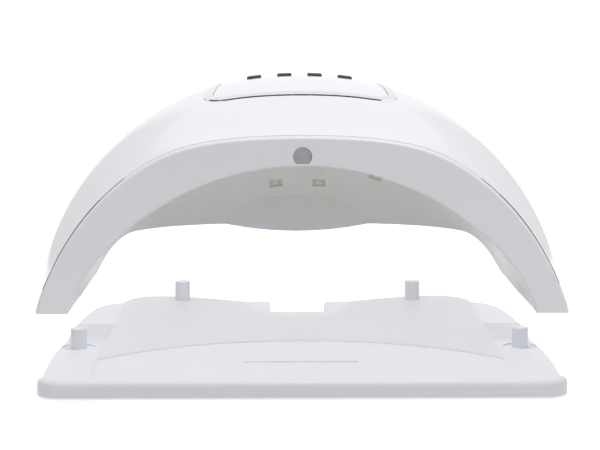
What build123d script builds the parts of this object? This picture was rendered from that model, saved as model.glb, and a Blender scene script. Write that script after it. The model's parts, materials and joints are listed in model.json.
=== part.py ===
from build123d import *
from math import cos, hypot, radians, sin
import os

# A desk lamp that hardens nail gel, shown lifted clear of the tray that it stands on.
# Millimetres. Lamp pieces are modelled with the front face at y = 0 and the feet at z = 0,
# tray pieces with the front lip at y = 0 and the table at z = 0, and both are placed at the end.

# Lamp body
lamp_width = 234.0
lamp_depth = 200.0
lamp_height = 93.5
front_width = 227.0
front_height = 75.7
shell_wall = 2.2
overrun = 20.0
overcut = 1.0

# Hand cavity and its liner
mouth_width = 199.0
mouth_height = 62.9
cavity_depth = 168.0
liner_wall = 1.8
flange_thickness = 2.6
seam_step = 0.35
housing_gap = 0.1
edge_round = 1.1

# Lower edge: flat feet, then a rise to the raised rear rim
foot_length = 100.0
rise_length = 45.0
rear_rise = 14.0
rim_thickness = 2.4
chin_width = 106.0
chin_drop = 8.0
chin_depth = 24.0
rear_tab_width = 25.0
rear_tab_drop = 1.6
skirt = 8.0

# Posts of the tray, sockets of the lamp, and what holds the two together
post_diameter = 7.4
post_clearance = 0.35
socket_wall = 1.4
socket_depth = 9.4
rear_socket_depth = 5.0
socket_roof = 1.0
magnet_diameter = 5.0
magnet_height = 3.0
magnet_clearance = 0.1
front_post_half_spacing = 102.5
front_post_depth = 99.5
rear_post_half_spacing = 57.3
rear_post_depth = 181.0

# Control panel
panel_front = 44.0
panel_length = 96.0
panel_front_width = 87.0
panel_rear_width = 76.0
panel_corner = 12.0
ring_width = 4.0
panel_thickness = 1.6
bed_thickness = 1.6
bed_margin = 2.0
panel_gap = 0.1
ring_proud = 0.25

# Buttons: four keys in a row across the crown
button_names = ("button_10s", "button_30s", "button_60s", "button_99s")
button_pitch = 13.9
button_width = 6.6
button_length = 8.0
button_proud = 0.9
button_travel = 0.5
button_clearance = 0.25
button_corner = 1.8
button_edge_round = 0.35
key_hole_reach = 6.0
key_slot_margin = 1.5
button_depth = 99.0
flange_rim = 0.9
flange_height = 1.0
flange_drop = 0.5
stem_diameter = 2.6
press_gap = 0.1

# Boards
board_thickness = 1.6
control_board_width = 62.0
control_board_length = 56.0
control_board_front = 74.0
control_board_top = 80.5
switch_size = 6.0
switch_body_height = 3.5
plunger_diameter = 3.2
plunger_top = 87.0
display_width = 30.0
display_length = 14.0
display_height = 6.4
display_depth = 117.0
window_width = 36.0
window_length = 18.0
window_corner = 2.5
window_seat = 2.0
sight_margin = 1.0
driver_board_width = 56.0
driver_board_length = 46.0
driver_board_front = 102.0
driver_board_bottom = 67.0
boss_diameter = 6.0
boss_margin = 1.0
screw_diameter = 2.5
screw_head_diameter = 4.6
screw_head_height = 1.4
screw_clearance = 0.05
screw_bite = 5.0
screw_spare = 0.3
head_clearance = 0.2
head_sink = 0.1
housing_boss_diameter = 6.4
cavity_boss_start = 30.0
capacitor_places = ((-14.0, -10.0), (-14.0, 2.0))
capacitor_diameter = 8.0
capacitor_height = 7.5
driver_blocks = (((4.0, -6.0), (12.0, 12.0, 5.0)), ((6.0, 10.0), (14.0, 8.0, 2.0)))

# Light sources: three rows across the roof and one on the rear wall
row_depths = {"front": 45.0, "middle": 88.0, "back": 124.0}
row_angles = (14.0, 32.0, 52.0, 72.0, 90.0, 108.0, 128.0, 148.0, 166.0)
ray_height = 6.0
rear_led_places = ((-38.0, 39.0), (-10.6, 35.0), (10.6, 35.0), (38.0, 39.0))
strip_width = 10.0
strip_thickness = 0.8
strip_gap = 0.15
led_window_width = 6.6
led_window_height = 4.8
led_width = 5.2
led_height = 3.6
led_thickness = 1.2
led_recess = 0.4
rear_strip_width = 96.0
rear_strip_height = 20.0
rear_strip_centre = 38.0
rear_strip_reach = 30.0

# Hand sensor in the front face
sensor_diameter = 8.0
sensor_height = 67.0
sensor_flat_drop = 3.0
sensor_recess = 0.6
sensor_lens_thickness = 1.0
sensor_eye_diameter = 4.0
sensor_board_width = 14.0
sensor_board_height = 7.6
sensor_board_gap = 1.2

# Power inlet in the rear wall
inlet_barrel_diameter = 8.0
inlet_bore_diameter = 5.5
inlet_pin_diameter = 2.1
inlet_body_width = 9.0
inlet_body_height = 10.0
inlet_body_length = 12.0
inlet_bore_length = 9.5
inlet_pin_recess = 1.0
inlet_clearance = 0.15

# Fixings and pads of the lamp
housing_screw_places = ((106.8, 18.0), (105.6, 74.0), (36.0, 185.0))
pad_length = 34.0
pad_width = 7.0
pad_thickness = 1.2
pad_reveal = 0.4
pad_places = ((106.6, 46.0),)

# Tray
tray_width = 226.0
tray_depth = 190.0
tray_bottom = 1.1
lip_depth = 9.5
landing_height = 3.2
plateau_height = 9.1
plateau_front_width = 179.0
plateau_rear_width = 171.0
plateau_step = 0.7
arc_end_depth = 43.0
arc_crown_depth = 85.6
shoulder_height = 11.0
rear_centre_height = 7.6
tray_wall = 2.1
tray_edge_round = 3.0
tray_corners = ((1.0, 0.0, 10.0), (1.0, 0.42, 400.0), (0.92, 0.82, 180.0), (0.866, 1.0, 22.0))
plateau_rear_inset = 1.6
plateau_rear_round = 14.0
plateau_root = 5.5
rest_floor = 5.0
rest_shares = (0.0, 0.2, 0.5, 0.72, 1.02)
rest_depths = (0.0, 0.35, 0.7, 1.0)
hollow_front = 6.0
hollow_rear = 4.5
hollow_side = 1.5
hollow_corner = 14.0
notch_width = 27.4
notch_length = 30.0
groove_width = 50.0
groove_length = 3.0
groove_depth = 0.6
groove_centre = 39.8
dish_diameter = 15.5
dish_depth = 0.6
front_post_height = 9.0
rear_post_height = 9.2
post_root = 3.0
post_edge_round = 0.5
cover_thickness = 2.0
tray_head_height = 1.2
cover_clearance = 0.3
cover_boss_diameter = 7.0
tray_screw_places = ((70.0, 20.0), (70.0, 150.0))
tray_screw_spare = 0.2
tray_foot_diameter = 10.0
tray_foot_sink = 0.6
tray_foot_round = 0.3
tray_foot_places = ((99.0, 24.0), (91.0, 160.0))

# Where the two halves stand when the lamp is lifted off
lamp_setback = 10.0
lamp_lift = 35.4

tray_front_y = -(lamp_setback + lamp_depth) / 2
lamp_front_y = tray_front_y + lamp_setback

# Section angles, closer together where the arch turns
half_angles = (0, 22, 44, 62, 77)
arch_angles = half_angles + (90,) + tuple(180 - angle for angle in reversed(half_angles))

# Each station: depth, foot half-width, crown height, then the powers that square the flank and the crown
shell_stations = (
    (0.0, front_width / 2, front_height, 3.0, 1.25),
    (0.24 * lamp_depth, 0.497 * lamp_width, 0.961 * lamp_height, 2.6, 1.42),
    (0.475 * lamp_depth, 0.5 * lamp_width, lamp_height, 2.25, 1.62),
    (0.70 * lamp_depth, 0.475 * lamp_width, 0.935 * lamp_height, 2.25, 1.66),
    (0.86 * lamp_depth, 0.428 * lamp_width, 0.765 * lamp_height, 2.3, 1.75),
    (0.955 * lamp_depth, 0.372 * lamp_width, 0.555 * lamp_height, 2.4, 1.9),
    (lamp_depth, 0.325 * lamp_width, 0.42 * lamp_height, 2.5, 2.0),
)
cavity_stations = (
    (0.0, mouth_width / 2, mouth_height, 2.0, 1.42),
    (0.05 * cavity_depth, 0.499 * mouth_width, 1.008 * mouth_height, 2.0, 1.43),
    (0.30 * cavity_depth, 0.489 * mouth_width, 1.05 * mouth_height, 2.0, 1.5),
    (0.57 * cavity_depth, 0.48 * mouth_width, 1.02 * mouth_height, 2.1, 1.6),
    (0.76 * cavity_depth, 0.455 * mouth_width, 0.90 * mouth_height, 2.2, 1.8),
    (0.89 * cavity_depth, 0.392 * mouth_width, 0.74 * mouth_height, 2.3, 2.0),
    (0.96 * cavity_depth, 0.31 * mouth_width, 0.61 * mouth_height, 2.4, 2.2),
    (cavity_depth, 0.20 * mouth_width, 0.45 * mouth_height, 2.5, 2.4),
)


def arch_point(angle, half_width, height, flank, crown):
    """Point of a squared-off arch, across and up, at an angle from the right foot."""
    across, up = cos(radians(angle)), max(sin(radians(angle)), 0.0)
    side = 1 if across > 0 else -1
    return side * half_width * abs(across) ** (2 / flank), height * up ** (2 / crown)


def shared_parameters():
    """Where the points lie along a middling arch, so that all sections run alike."""
    _, half_width, height, flank, crown = shell_stations[2]
    points = [arch_point(angle, half_width, height, flank, crown) for angle in arch_angles]
    lengths = [0.0]
    for (x0, z0), (x1, z1) in zip(points, points[1:]):
        lengths.append(lengths[-1] + hypot(x1 - x0, z1 - z0))
    return [length / lengths[-1] for length in lengths]


def arch_face(depth, half_width, height, flank, crown):
    """Closed arch across the lamp at one depth, with a skirt below the feet."""
    flat = [arch_point(angle, half_width, height, flank, crown) for angle in arch_angles]
    points = [(x, depth, z) for x, z in flat]
    left, right = points[-1], points[0]
    corners = (left, (left[0], depth, -skirt), (right[0], depth, -skirt), right)
    crown_line = Edge.make_spline(points, parameters=arch_parameters)
    return make_face([crown_line, Polyline(*corners)])


arch_parameters = shared_parameters()


def arch_body(stations, grow):
    """Loft through the stations, each grown outwards by the same amount, and the last pushed back by it."""
    faces = []
    for index, (depth, half_width, height, flank, crown) in enumerate(stations):
        place = depth + grow * index / (len(stations) - 1)
        faces.append(arch_face(place, half_width + grow, height + grow, flank, crown))
    return loft(faces)


def across_x(outline_edges, half_width):
    """Solid made by running a side-view outline (y, z) across the whole width."""
    face = make_face(outline_edges)
    return extrude(face, amount=half_width, dir=(1, 0, 0), both=True)


def under_rim(raise_by=0.0):
    """Everything below the lamp's lower edge, seen from the side and run across the width."""
    end = foot_length + rise_length
    front, back = -overrun, lamp_depth + overrun
    bottom, level, top = -2 * overrun, raise_by, rear_rise + raise_by
    rise = Spline(
        (0, foot_length, level), (0, end, top), tangents=((0, 1, 0), (0, 1, 0)), tangent_scalars=(1, 1)
    )
    rest = Polyline(
        (0, end, top), (0, back, top), (0, back, bottom), (0, front, bottom), (0, front, level),
        (0, foot_length, level),
    )
    return across_x([rise, rest], lamp_width)


def depth_slab(front, back):
    """Slab of the lamp between two depths."""
    return Pos(0, (front + back) / 2, 0) * Box(2 * lamp_width, back - front, 4 * lamp_height)


def upright(x, y, bottom, top, radius):
    """Vertical cylinder between two heights."""
    return Pos(x, y, (bottom + top) / 2) * Cylinder(radius, top - bottom)


def panel_outline(inset, height):
    """Rounded trapezium of the control panel, as a tall prism."""
    front, back = panel_front + inset, panel_front + panel_length - inset
    half_front, half_back = panel_front_width / 2 - inset, panel_rear_width / 2 - inset
    corners = ((-half_front, front), (half_front, front), (half_back, back), (-half_back, back))
    flat = make_face(Polyline(*corners, close=True))
    rounded = fillet(flat.vertices(), panel_corner - inset)
    return extrude(Pos(0, 0, height) * rounded, amount=lamp_height)


def mirrored(places):
    """The places on the right and their mirror images on the left."""
    right = tuple(places)
    return right + tuple((-x, y) for x, y in right)


def leave_frame(body, start, direction):
    """Plane where a ray from inside leaves the body's skin, z axis outwards, x axis across the lamp."""
    point, normal = body.find_intersection_points(Axis(start, direction))[-1]
    outwards = normal if normal.dot(Vector(direction)) > 0 else -normal
    return Plane(origin=point, x_dir=Vector(0, 1, 0).cross(outwards), z_dir=outwards)


def export(shapes, name, place):
    """Write one node, put where it stands in the finished object."""
    solids = [place * solid for shape in shapes for solid in shape.solids()]
    node = solids[0] if len(solids) == 1 else Compound(children=solids)
    node.label = name
    export_step(node, os.path.join("parts", name + ".step"))


os.makedirs("parts", exist_ok=True)
lamp_place = Pos(0, lamp_front_y, lamp_lift)
tray_place = Pos(0, tray_front_y, 0)

# Skins of the lamp, each a loft through the same stations
outer_body = arch_body(shell_stations, 0.0)
inner_body = arch_body(shell_stations, -shell_wall)
housing_limit = arch_body(shell_stations, -shell_wall - housing_gap)
boss_limit = arch_body(shell_stations, -shell_wall / 2)
flange_body = arch_body(shell_stations, -seam_step)
ring_body = arch_body(shell_stations, ring_proud)
panel_floor = arch_body(shell_stations, -panel_thickness)
bed_top = arch_body(shell_stations, -panel_thickness - panel_gap)
bed_bottom = arch_body(shell_stations, -panel_thickness - panel_gap - bed_thickness)
cavity = arch_body(cavity_stations, 0.0)
liner_body = arch_body(cavity_stations, liner_wall)
strip_inside = arch_body(cavity_stations, liner_wall + strip_gap)
strip_outside = arch_body(cavity_stations, liner_wall + strip_gap + strip_thickness)
below = under_rim()
rim_slab = under_rim(rim_thickness) - below

# Frames of the buttons on the crown, and where each stem meets its switch
button_middle = (len(button_names) - 1) / 2
button_places = tuple((index - button_middle) * button_pitch for index in range(len(button_names)))
button_frames = []
plunger_places = []
for x in button_places:
    frame = leave_frame(outer_body, (x, button_depth, 0), (0, 0, 1))
    tilt = Vector(frame.z_dir.X, 0, frame.z_dir.Z).normalized()
    frame = Plane(origin=frame.origin, x_dir=Vector(0, 1, 0).cross(tilt), z_dir=tilt)
    reach = (frame.origin.Z - plunger_top) / tilt.Z
    button_frames.append((frame, reach))
    plunger_places.append((frame.origin - tilt * reach).X)
    print("button axis", tuple(round(-value, 5) for value in tilt), "reach", round(reach, 2))

# Panel plate, trim ring and display window
plate_prism = panel_outline(ring_width + panel_gap, lamp_height / 2)
window_shape = RectangleRounded(window_width, window_length, window_corner)
window_prism = Pos(0, display_depth, lamp_height / 2) * extrude(window_shape, amount=lamp_height)
window_hole_shape = RectangleRounded(
    window_width + 2 * panel_gap, window_length + 2 * panel_gap, window_corner + panel_gap
)
window_hole = Pos(0, display_depth, lamp_height / 2) * extrude(window_hole_shape, amount=lamp_height)
panel_plate = (outer_body - panel_floor) & plate_prism
panel_plate -= window_hole
trim_ring = ring_body - panel_floor
trim_ring = trim_ring & panel_outline(panel_gap, lamp_height / 2)
trim_ring -= panel_outline(ring_width, lamp_height / 2)
display_window = (outer_body - panel_floor) & window_prism

buttons = {}
flange_width = button_width + 2 * flange_rim
flange_length = button_length + 2 * flange_rim
hanging = (Align.CENTER, Align.CENTER, Align.MAX)
for name, (frame, reach) in zip(button_names, button_frames):
    key_bottom = panel_thickness + flange_drop
    key_shape = RectangleRounded(button_width, button_length, button_corner)
    key = extrude(key_shape, amount=key_bottom + button_proud)
    key = fillet(key.faces().sort_by(Axis.Z)[-1].edges(), button_edge_round)
    stem_end = reach - button_travel - press_gap - stem_diameter / 2 * abs(frame.z_dir.X)
    flange = Box(flange_width, flange_length, flange_height, align=hanging)
    stem = Cylinder(stem_diameter / 2, stem_end - key_bottom, align=hanging)
    buttons[name] = frame.location * (Pos(0, 0, -key_bottom) * (key + flange + stem))
    hole_width = button_width + 2 * button_clearance
    hole_length = button_length + 2 * button_clearance
    hole = RectangleRounded(hole_width, hole_length, button_corner + button_clearance)
    panel_plate -= frame.location * (Pos(0, 0, -key_hole_reach) * extrude(hole, amount=2 * key_hole_reach))

# Outer shell: the dome, open at the front and below, with the sunk bed of the control panel
shell = (outer_body - inner_body) - depth_slab(-overrun, flange_thickness)
shell += (bed_top - bed_bottom) & panel_outline(-bed_margin, lamp_height / 2)
shell -= panel_outline(0, lamp_height / 2) - bed_top
slot_half = button_places[-1] + flange_width / 2 + key_slot_margin
slot_length = flange_length + 2 * key_slot_margin
slot = Pos(0, button_depth, lamp_height) * Box(2 * slot_half, slot_length, lamp_height)
sight_hole = Pos(0, display_depth, lamp_height) * Box(
    display_width + 2 * sight_margin, window_length - 2 * window_seat, lamp_height
)
shell -= slot
shell -= sight_hole
board_back = control_board_front + control_board_length
boss_inset = boss_diameter / 2 + boss_margin
board_corners = mirrored(
    (control_board_width / 2 - boss_inset, y)
    for y in (control_board_front + boss_inset, board_back - boss_inset)
)
pilot_radius = screw_diameter / 2 + screw_clearance
bore_length = screw_bite + screw_spare
for x, y in board_corners:
    boss = upright(x, y, control_board_top, lamp_height, boss_diameter / 2) & bed_top
    shell += boss
    shell -= upright(x, y, control_board_top - overcut, control_board_top + bore_length, pilot_radius)
for x, y in mirrored(housing_screw_places):
    rim_top = rim_thickness + (0 if y < foot_length else rear_rise)
    shell += upright(x, y, rim_top, lamp_height, housing_boss_diameter / 2) & boss_limit
    shell -= upright(x, y, rim_top - overcut, rim_top + bore_length, pilot_radius)
chin_half = chin_width / 2
chin_start = lamp_depth - chin_depth / 2
chin_left, chin_right = (-chin_half, chin_start, rear_rise), (chin_half, chin_start, rear_rise)
chin_face = make_face([
    ThreePointArc(chin_left, (0, chin_start, rear_rise - chin_drop), chin_right),
    Line(chin_right, chin_left),
])
chin = extrude(chin_face, amount=chin_depth, dir=(0, 1, 0))
shell -= below - chin
inlet_height = rear_rise + rim_thickness + inlet_body_height / 2
inlet_axis = Pos(0, lamp_depth, inlet_height) * Rot(-90, 0, 0)
shell -= inlet_axis * Cylinder(inlet_barrel_diameter / 2 + inlet_clearance, 3 * shell_wall)

# Inner housing: front flange, light-reflecting liner, bottom rim and sockets in one moulding
flange = (flange_body & depth_slab(0, flange_thickness)) - cavity - below
front_face = flange.faces().sort_by(Axis.Y)[0]
front_arcs = [edge for edge in front_face.edges() if edge.length > mouth_width]
flange = fillet(front_arcs, edge_round)
liner = (liner_body - cavity) - below - depth_slab(-overrun, 2 * edge_round)
rim = (rim_slab & housing_limit) - cavity - depth_slab(-overrun, flange_thickness / 2)
housing = flange + liner
housing += rim
tab = Pos(0, cavity_depth + liner_wall / 2, rear_rise + rim_thickness / 2)
tab *= Box(rear_tab_width, liner_wall, rim_thickness + 2 * rear_tab_drop)
housing += tab
bore_radius = post_diameter / 2 + post_clearance
tube_radius = bore_radius + socket_wall
magnet_pocket = magnet_diameter / 2 + magnet_clearance
front_socket_y = front_post_depth - lamp_setback
rear_socket_y = rear_post_depth - lamp_setback
sockets = [(x, y, 0.0, socket_depth) for x, y in mirrored([(front_post_half_spacing, front_socket_y)])]
sockets += [
    (x, y, rear_rise, rear_socket_depth) for x, y in mirrored([(rear_post_half_spacing, rear_socket_y)])
]
lamp_magnets = []
for x, y, bottom, depth in sockets:
    roof = bottom + depth + socket_roof
    housing += upright(x, y, bottom, roof + magnet_height, tube_radius)
    housing -= upright(x, y, bottom - overcut, bottom + depth, bore_radius)
    housing -= upright(x, y, roof, roof + magnet_height + overcut, magnet_pocket)
    lamp_magnets.append(upright(x, y, roof, roof + magnet_height, magnet_diameter / 2))
driver_back = driver_board_front + driver_board_length
driver_corners = mirrored(
    (driver_board_width / 2 - boss_inset, y)
    for y in (driver_board_front + boss_inset, driver_back - boss_inset)
)
for x, y in driver_corners:
    housing += upright(x, y, cavity_boss_start, driver_board_bottom, boss_diameter / 2) - liner_body
    housing -= upright(x, y, driver_board_bottom - bore_length, driver_board_bottom + overcut, pilot_radius)
housing_screws = []
for x, y in mirrored(housing_screw_places):
    bottom = 0 if y < foot_length else rear_rise
    seat = bottom + screw_head_height
    housing -= upright(x, y, bottom - overcut, seat, screw_head_diameter / 2 + head_clearance)
    housing -= upright(x, y, seat - overcut, seat + rim_thickness, pilot_radius)
    head = upright(x, y, bottom + head_sink, seat, screw_head_diameter / 2)
    shank = upright(x, y, seat, bottom + rim_thickness + screw_bite, screw_diameter / 2)
    housing_screws.append(head + shank)
leg_pads = []
for x, y in mirrored(pad_places):
    pocket_shape = SlotOverall(pad_length + 2 * housing_gap, pad_width + 2 * housing_gap, 90)
    housing -= Pos(x, y, 0) * extrude(pocket_shape, amount=pad_thickness - pad_reveal)
    pad = Pos(x, y, -pad_reveal) * extrude(SlotOverall(pad_length, pad_width, 90), amount=pad_thickness)
    leg_pads.append(pad)

# Hand sensor: a flat-bottomed hole in the flange, with its filter and its board behind
def sensor_prism(radius, flat_drop, front, back):
    """Round bar along the depth, cut flat below."""
    depth = (front + back) / 2
    bar = Pos(0, depth, sensor_height) * Rot(90, 0, 0) * Cylinder(radius, back - front)
    under_flat = Pos(0, depth, sensor_height - flat_drop - radius)
    return bar - under_flat * Box(4 * radius, back - front + 2 * overcut, 2 * radius)


sensor_radius = sensor_diameter / 2
housing -= sensor_prism(sensor_radius, sensor_flat_drop, -overcut, flange_thickness)
lens_back = sensor_recess + sensor_lens_thickness
sensor_window = sensor_prism(
    sensor_radius - housing_gap, sensor_flat_drop - housing_gap, sensor_recess, lens_back
)
board_front = flange_thickness + housing_gap
board_floor = mouth_height + liner_wall + sensor_board_gap
sensor_board = Pos(0, board_front + board_thickness / 2, board_floor + sensor_board_height / 2) * Box(
    sensor_board_width, board_thickness, sensor_board_height
)
eye_length = board_front - lens_back - housing_gap
sensor_eye = Pos(0, board_front - eye_length / 2, sensor_height) * Rot(90, 0, 0) * Cylinder(
    sensor_eye_diameter / 2, eye_length
)

# Light strips behind the liner, windows through it and an emitter in each window
led_frames = {}
for row, depth in row_depths.items():
    led_frames[row] = [
        leave_frame(cavity, (0, depth, ray_height), (cos(radians(angle)), 0, sin(radians(angle))))
        for angle in row_angles
    ]
led_frames["rear"] = [leave_frame(cavity, (x, foot_length, z), (0, 1, 0)) for x, z in rear_led_places]
strips = {}
emitters = {}
windows = []
strip_skin = strip_outside - strip_inside
above_sockets = Pos(0, 0, socket_depth + socket_roof + magnet_height + overcut) * below
for row, frames in led_frames.items():
    if row == "rear":
        zone = Pos(0, cavity_depth, rear_strip_centre)
        zone *= Box(rear_strip_width, 2 * rear_strip_reach, rear_strip_height)
    else:
        zone = depth_slab(row_depths[row] - strip_width / 2, row_depths[row] + strip_width / 2)
    strips[row] = (strip_skin & zone) - above_sockets
    emitters[row] = []
    for frame in frames:
        windows.append(frame.location * Box(led_window_width, led_window_height, 2 * liner_wall + overcut))
        lit = Pos(0, 0, led_recess + led_thickness / 2) * Box(led_width, led_height, led_thickness)
        emitters[row].append(frame.location * lit)

housing -= windows

# Boards with their parts and screws
control_board = Pos(0, (control_board_front + board_back) / 2, control_board_top - board_thickness / 2) * Box(
    control_board_width, control_board_length, board_thickness
)
driver_middle = (driver_board_front + driver_back) / 2
driver_board = Pos(0, driver_middle, driver_board_bottom + board_thickness / 2) * Box(
    driver_board_width, driver_board_length, board_thickness
)
board_screws = []
for x, y in board_corners:
    control_board -= upright(
        x, y, control_board_top - screw_bite, control_board_top + screw_bite, pilot_radius
    )
    underside = control_board_top - board_thickness
    head = upright(x, y, underside - screw_head_height, underside, screw_head_diameter / 2)
    board_screws.append(head + upright(x, y, underside, control_board_top + screw_bite, screw_diameter / 2))
driver_top = driver_board_bottom + board_thickness
driver_screws = []
for x, y in driver_corners:
    driver_board -= upright(
        x, y, driver_board_bottom - screw_bite, driver_board_bottom + screw_bite, pilot_radius
    )
    head = upright(x, y, driver_top, driver_top + screw_head_height, screw_head_diameter / 2)
    shank = upright(x, y, driver_board_bottom - screw_bite, driver_top, screw_diameter / 2)
    driver_screws.append(head + shank)
tact_switches = []
for x in plunger_places:
    switch_top = control_board_top + switch_body_height
    base = Pos(x, button_depth, control_board_top + switch_body_height / 2)
    base *= Box(switch_size, switch_size, switch_body_height)
    tact_switches.append(base + upright(x, button_depth, switch_top, plunger_top, plunger_diameter / 2))
display_module = Pos(0, display_depth, control_board_top + display_height / 2) * Box(
    display_width, display_length, display_height
)
driver_parts = [
    upright(x, driver_middle + y, driver_top, driver_top + capacitor_height, capacitor_diameter / 2)
    for x, y in capacitor_places
]
for (x, y), (width, length, height) in driver_blocks:
    driver_parts.append(Pos(x, driver_middle + y, driver_top + height / 2) * Box(width, length, height))

# Power inlet: a moulded socket behind the rear wall with its centre pin
inlet_back = lamp_depth - shell_wall - inlet_clearance
inlet_body = Pos(0, inlet_back - inlet_body_length / 2, inlet_height) * Box(
    inlet_body_width, inlet_body_length, inlet_body_height
)
barrel_length = lamp_depth - inlet_back
inlet_body += Pos(0, lamp_depth - barrel_length / 2, inlet_height) * Rot(90, 0, 0) * Cylinder(
    inlet_barrel_diameter / 2, barrel_length
)
inlet_body -= Pos(0, lamp_depth - inlet_bore_length / 2, inlet_height) * Rot(90, 0, 0) * Cylinder(
    inlet_bore_diameter / 2, inlet_bore_length
)
pin_length = inlet_bore_length - inlet_pin_recess
inlet_pin = Pos(0, lamp_depth - inlet_bore_length + pin_length / 2, inlet_height) * Rot(90, 0, 0) * Cylinder(
    inlet_pin_diameter / 2, pin_length
)

# Tray outline, half of it as corners with their rounding
tray_half = tray_width / 2
tray_turns = [(across * tray_half, along * tray_depth, radius) for across, along, radius in tray_corners]


def tray_prism(bottom, top):
    """The tray's plan outline between two heights."""
    right = [(x, y) for x, y, _ in tray_turns]
    left = [(-x, y) for x, y in reversed(right)]
    face = make_face(Polyline(*right, *left, close=True))
    for x, y, radius in tray_turns:
        ends = [v for v in face.vertices() if abs(abs(v.X) - x) < 0.01 and abs(v.Y - y) < 0.01]
        face = fillet(ends, radius)
    return extrude(Pos(0, 0, bottom) * face, amount=top - bottom)


def plateau_prism(bottom, top):
    """Plan outline of the raised hand rest: an arc in front, nearly straight sides, rounded behind."""
    half_front, half_rear = plateau_front_width / 2, plateau_rear_width / 2
    back = tray_depth - plateau_rear_inset
    left, right = (-half_front, arc_end_depth), (half_front, arc_end_depth)
    face = make_face([
        ThreePointArc(left, (0, arc_crown_depth), right),
        Polyline(right, (half_rear, back), (-half_rear, back), left),
    ])
    rear = [v for v in face.vertices() if abs(v.Y - back) < 0.01]
    face = fillet(rear, plateau_rear_round)
    return extrude(Pos(0, 0, bottom) * face, amount=top - bottom)


front_height_top = plateau_height - plateau_step
slab = tray_prism(tray_bottom, front_height_top)
slab = fillet(slab.faces().sort_by(Axis.Z)[-1].edges(), tray_edge_round)
hand_side = plateau_prism(-overrun, overrun)
middle = Pos(0, arc_crown_depth / 2, 0) * Box(plateau_front_width, arc_crown_depth, 2 * overrun)
side_zone = Pos(0, lip_depth + tray_depth / 2, 0) * Box(2 * tray_width, tray_depth, 2 * overrun)
side_zone = side_zone - Pos(0, lamp_setback, landing_height) * below
side_zone = side_zone - hand_side - middle
slab -= side_zone


def rest_profile(depth, heights):
    """Section of the hand rest's top at one depth, from its heights across half the width."""
    points = [(x, depth, z) for x, z in heights]
    points = [(-x, y, z) for x, y, z in reversed(points)] + points[1:]
    left, right = points[0], points[-1]
    feet = (right[0], depth, rest_floor), (left[0], depth, rest_floor)
    return make_face([Spline(*points), Polyline(right, *feet, left)])


flat_profile = [(x * tray_half, plateau_height) for x in rest_shares]
rear_heights = (
    rear_centre_height, rear_centre_height + 0.5, shoulder_height, shoulder_height, shoulder_height - 2
)
rear_profile = [(x * tray_half, z) for x, z in zip(rest_shares, rear_heights)]
middle_profile = [(x, (2 * a + b) / 3) for (x, a), (_, b) in zip(flat_profile, rear_profile)]
rest_profiles = (flat_profile, flat_profile, middle_profile, rear_profile)
rest = loft([rest_profile(along * tray_depth, heights) for along, heights in zip(rest_depths, rest_profiles)])
plateau = rest & plateau_prism(plateau_root, 2 * overrun)
base_tray = slab + plateau

# Underside of the tray: hollow, bosses for the cover, notch, posts and their magnets
hollow_top = front_height_top - tray_wall
hollow_half = plateau_rear_width / 2 - tray_wall - hollow_side


def hollow_prism(inset, bottom, top):
    """Plan of the hollow under the tray, round the notch."""
    half = hollow_half - inset
    notch_half = notch_width / 2 + tray_wall + inset
    front, back = hollow_front + inset, tray_depth - hollow_rear - inset
    notch_front = tray_depth - notch_length - tray_wall - inset
    right = [(half, front), (half, back - hollow_corner), (half - hollow_corner, back)]
    right += [(notch_half, back), (notch_half, notch_front)]
    left = [(-x, y) for x, y in reversed(right)]
    face = make_face(Polyline(*right, *left, close=True))
    return extrude(Pos(0, 0, bottom) * face, amount=top - bottom)


base_tray -= hollow_prism(0, tray_bottom - overcut, hollow_top)
cover_top = tray_bottom + cover_thickness
cover = hollow_prism(cover_clearance, tray_bottom, cover_top)
tray_screws = []
for x, y in mirrored(tray_screw_places):
    base_tray += upright(x, y, cover_top, hollow_top + overcut, cover_boss_diameter / 2)
    base_tray -= upright(x, y, cover_top - overcut, hollow_top - 2 * tray_screw_spare, pilot_radius)
    seat = tray_bottom + tray_head_height
    cover -= upright(x, y, tray_bottom - overcut, seat, screw_head_diameter / 2 + head_clearance)
    cover -= upright(x, y, tray_bottom, cover_top + overcut, pilot_radius)
    head = upright(x, y, tray_bottom + head_sink, seat, screw_head_diameter / 2)
    tray_screws.append(head + upright(x, y, seat, hollow_top - 3 * tray_screw_spare, screw_diameter / 2))
base_tray -= Pos(0, tray_depth, 0) * Box(notch_width, 2 * notch_length, 2 * overrun)
base_tray -= Pos(0, groove_centre, front_height_top) * Box(groove_width, groove_length, 2 * groove_depth)
tray_magnets = []
posts = []
for x, y in mirrored([(front_post_half_spacing, front_post_depth)]):
    base_tray -= upright(x, y, landing_height - dish_depth, landing_height + overcut, dish_diameter / 2)
    posts.append((x, y, landing_height - 2 * dish_depth, landing_height + front_post_height))
for x, y in mirrored([(rear_post_half_spacing, rear_post_depth)]):
    posts.append((x, y, shoulder_height - post_root, shoulder_height + rear_post_height))
for x, y, root, top in posts:
    post = upright(x, y, root, top, post_diameter / 2)
    base_tray += fillet(post.faces().sort_by(Axis.Z)[-1].edges(), post_edge_round)
    magnet_top = top - socket_roof
    base_tray -= upright(x, y, tray_bottom - overcut, magnet_top, magnet_pocket)
    tray_magnets.append(upright(x, y, magnet_top - magnet_height, magnet_top, magnet_diameter / 2))
tray_feet = []
for x, y in mirrored(tray_foot_places):
    foot_top = tray_bottom + tray_foot_sink
    base_tray -= upright(x, y, tray_bottom - overcut, foot_top, tray_foot_diameter / 2 + housing_gap)
    foot = upright(x, y, 0, foot_top, tray_foot_diameter / 2)
    tray_feet.append(fillet(foot.faces().sort_by(Axis.Z)[0].edges(), tray_foot_round))

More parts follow.
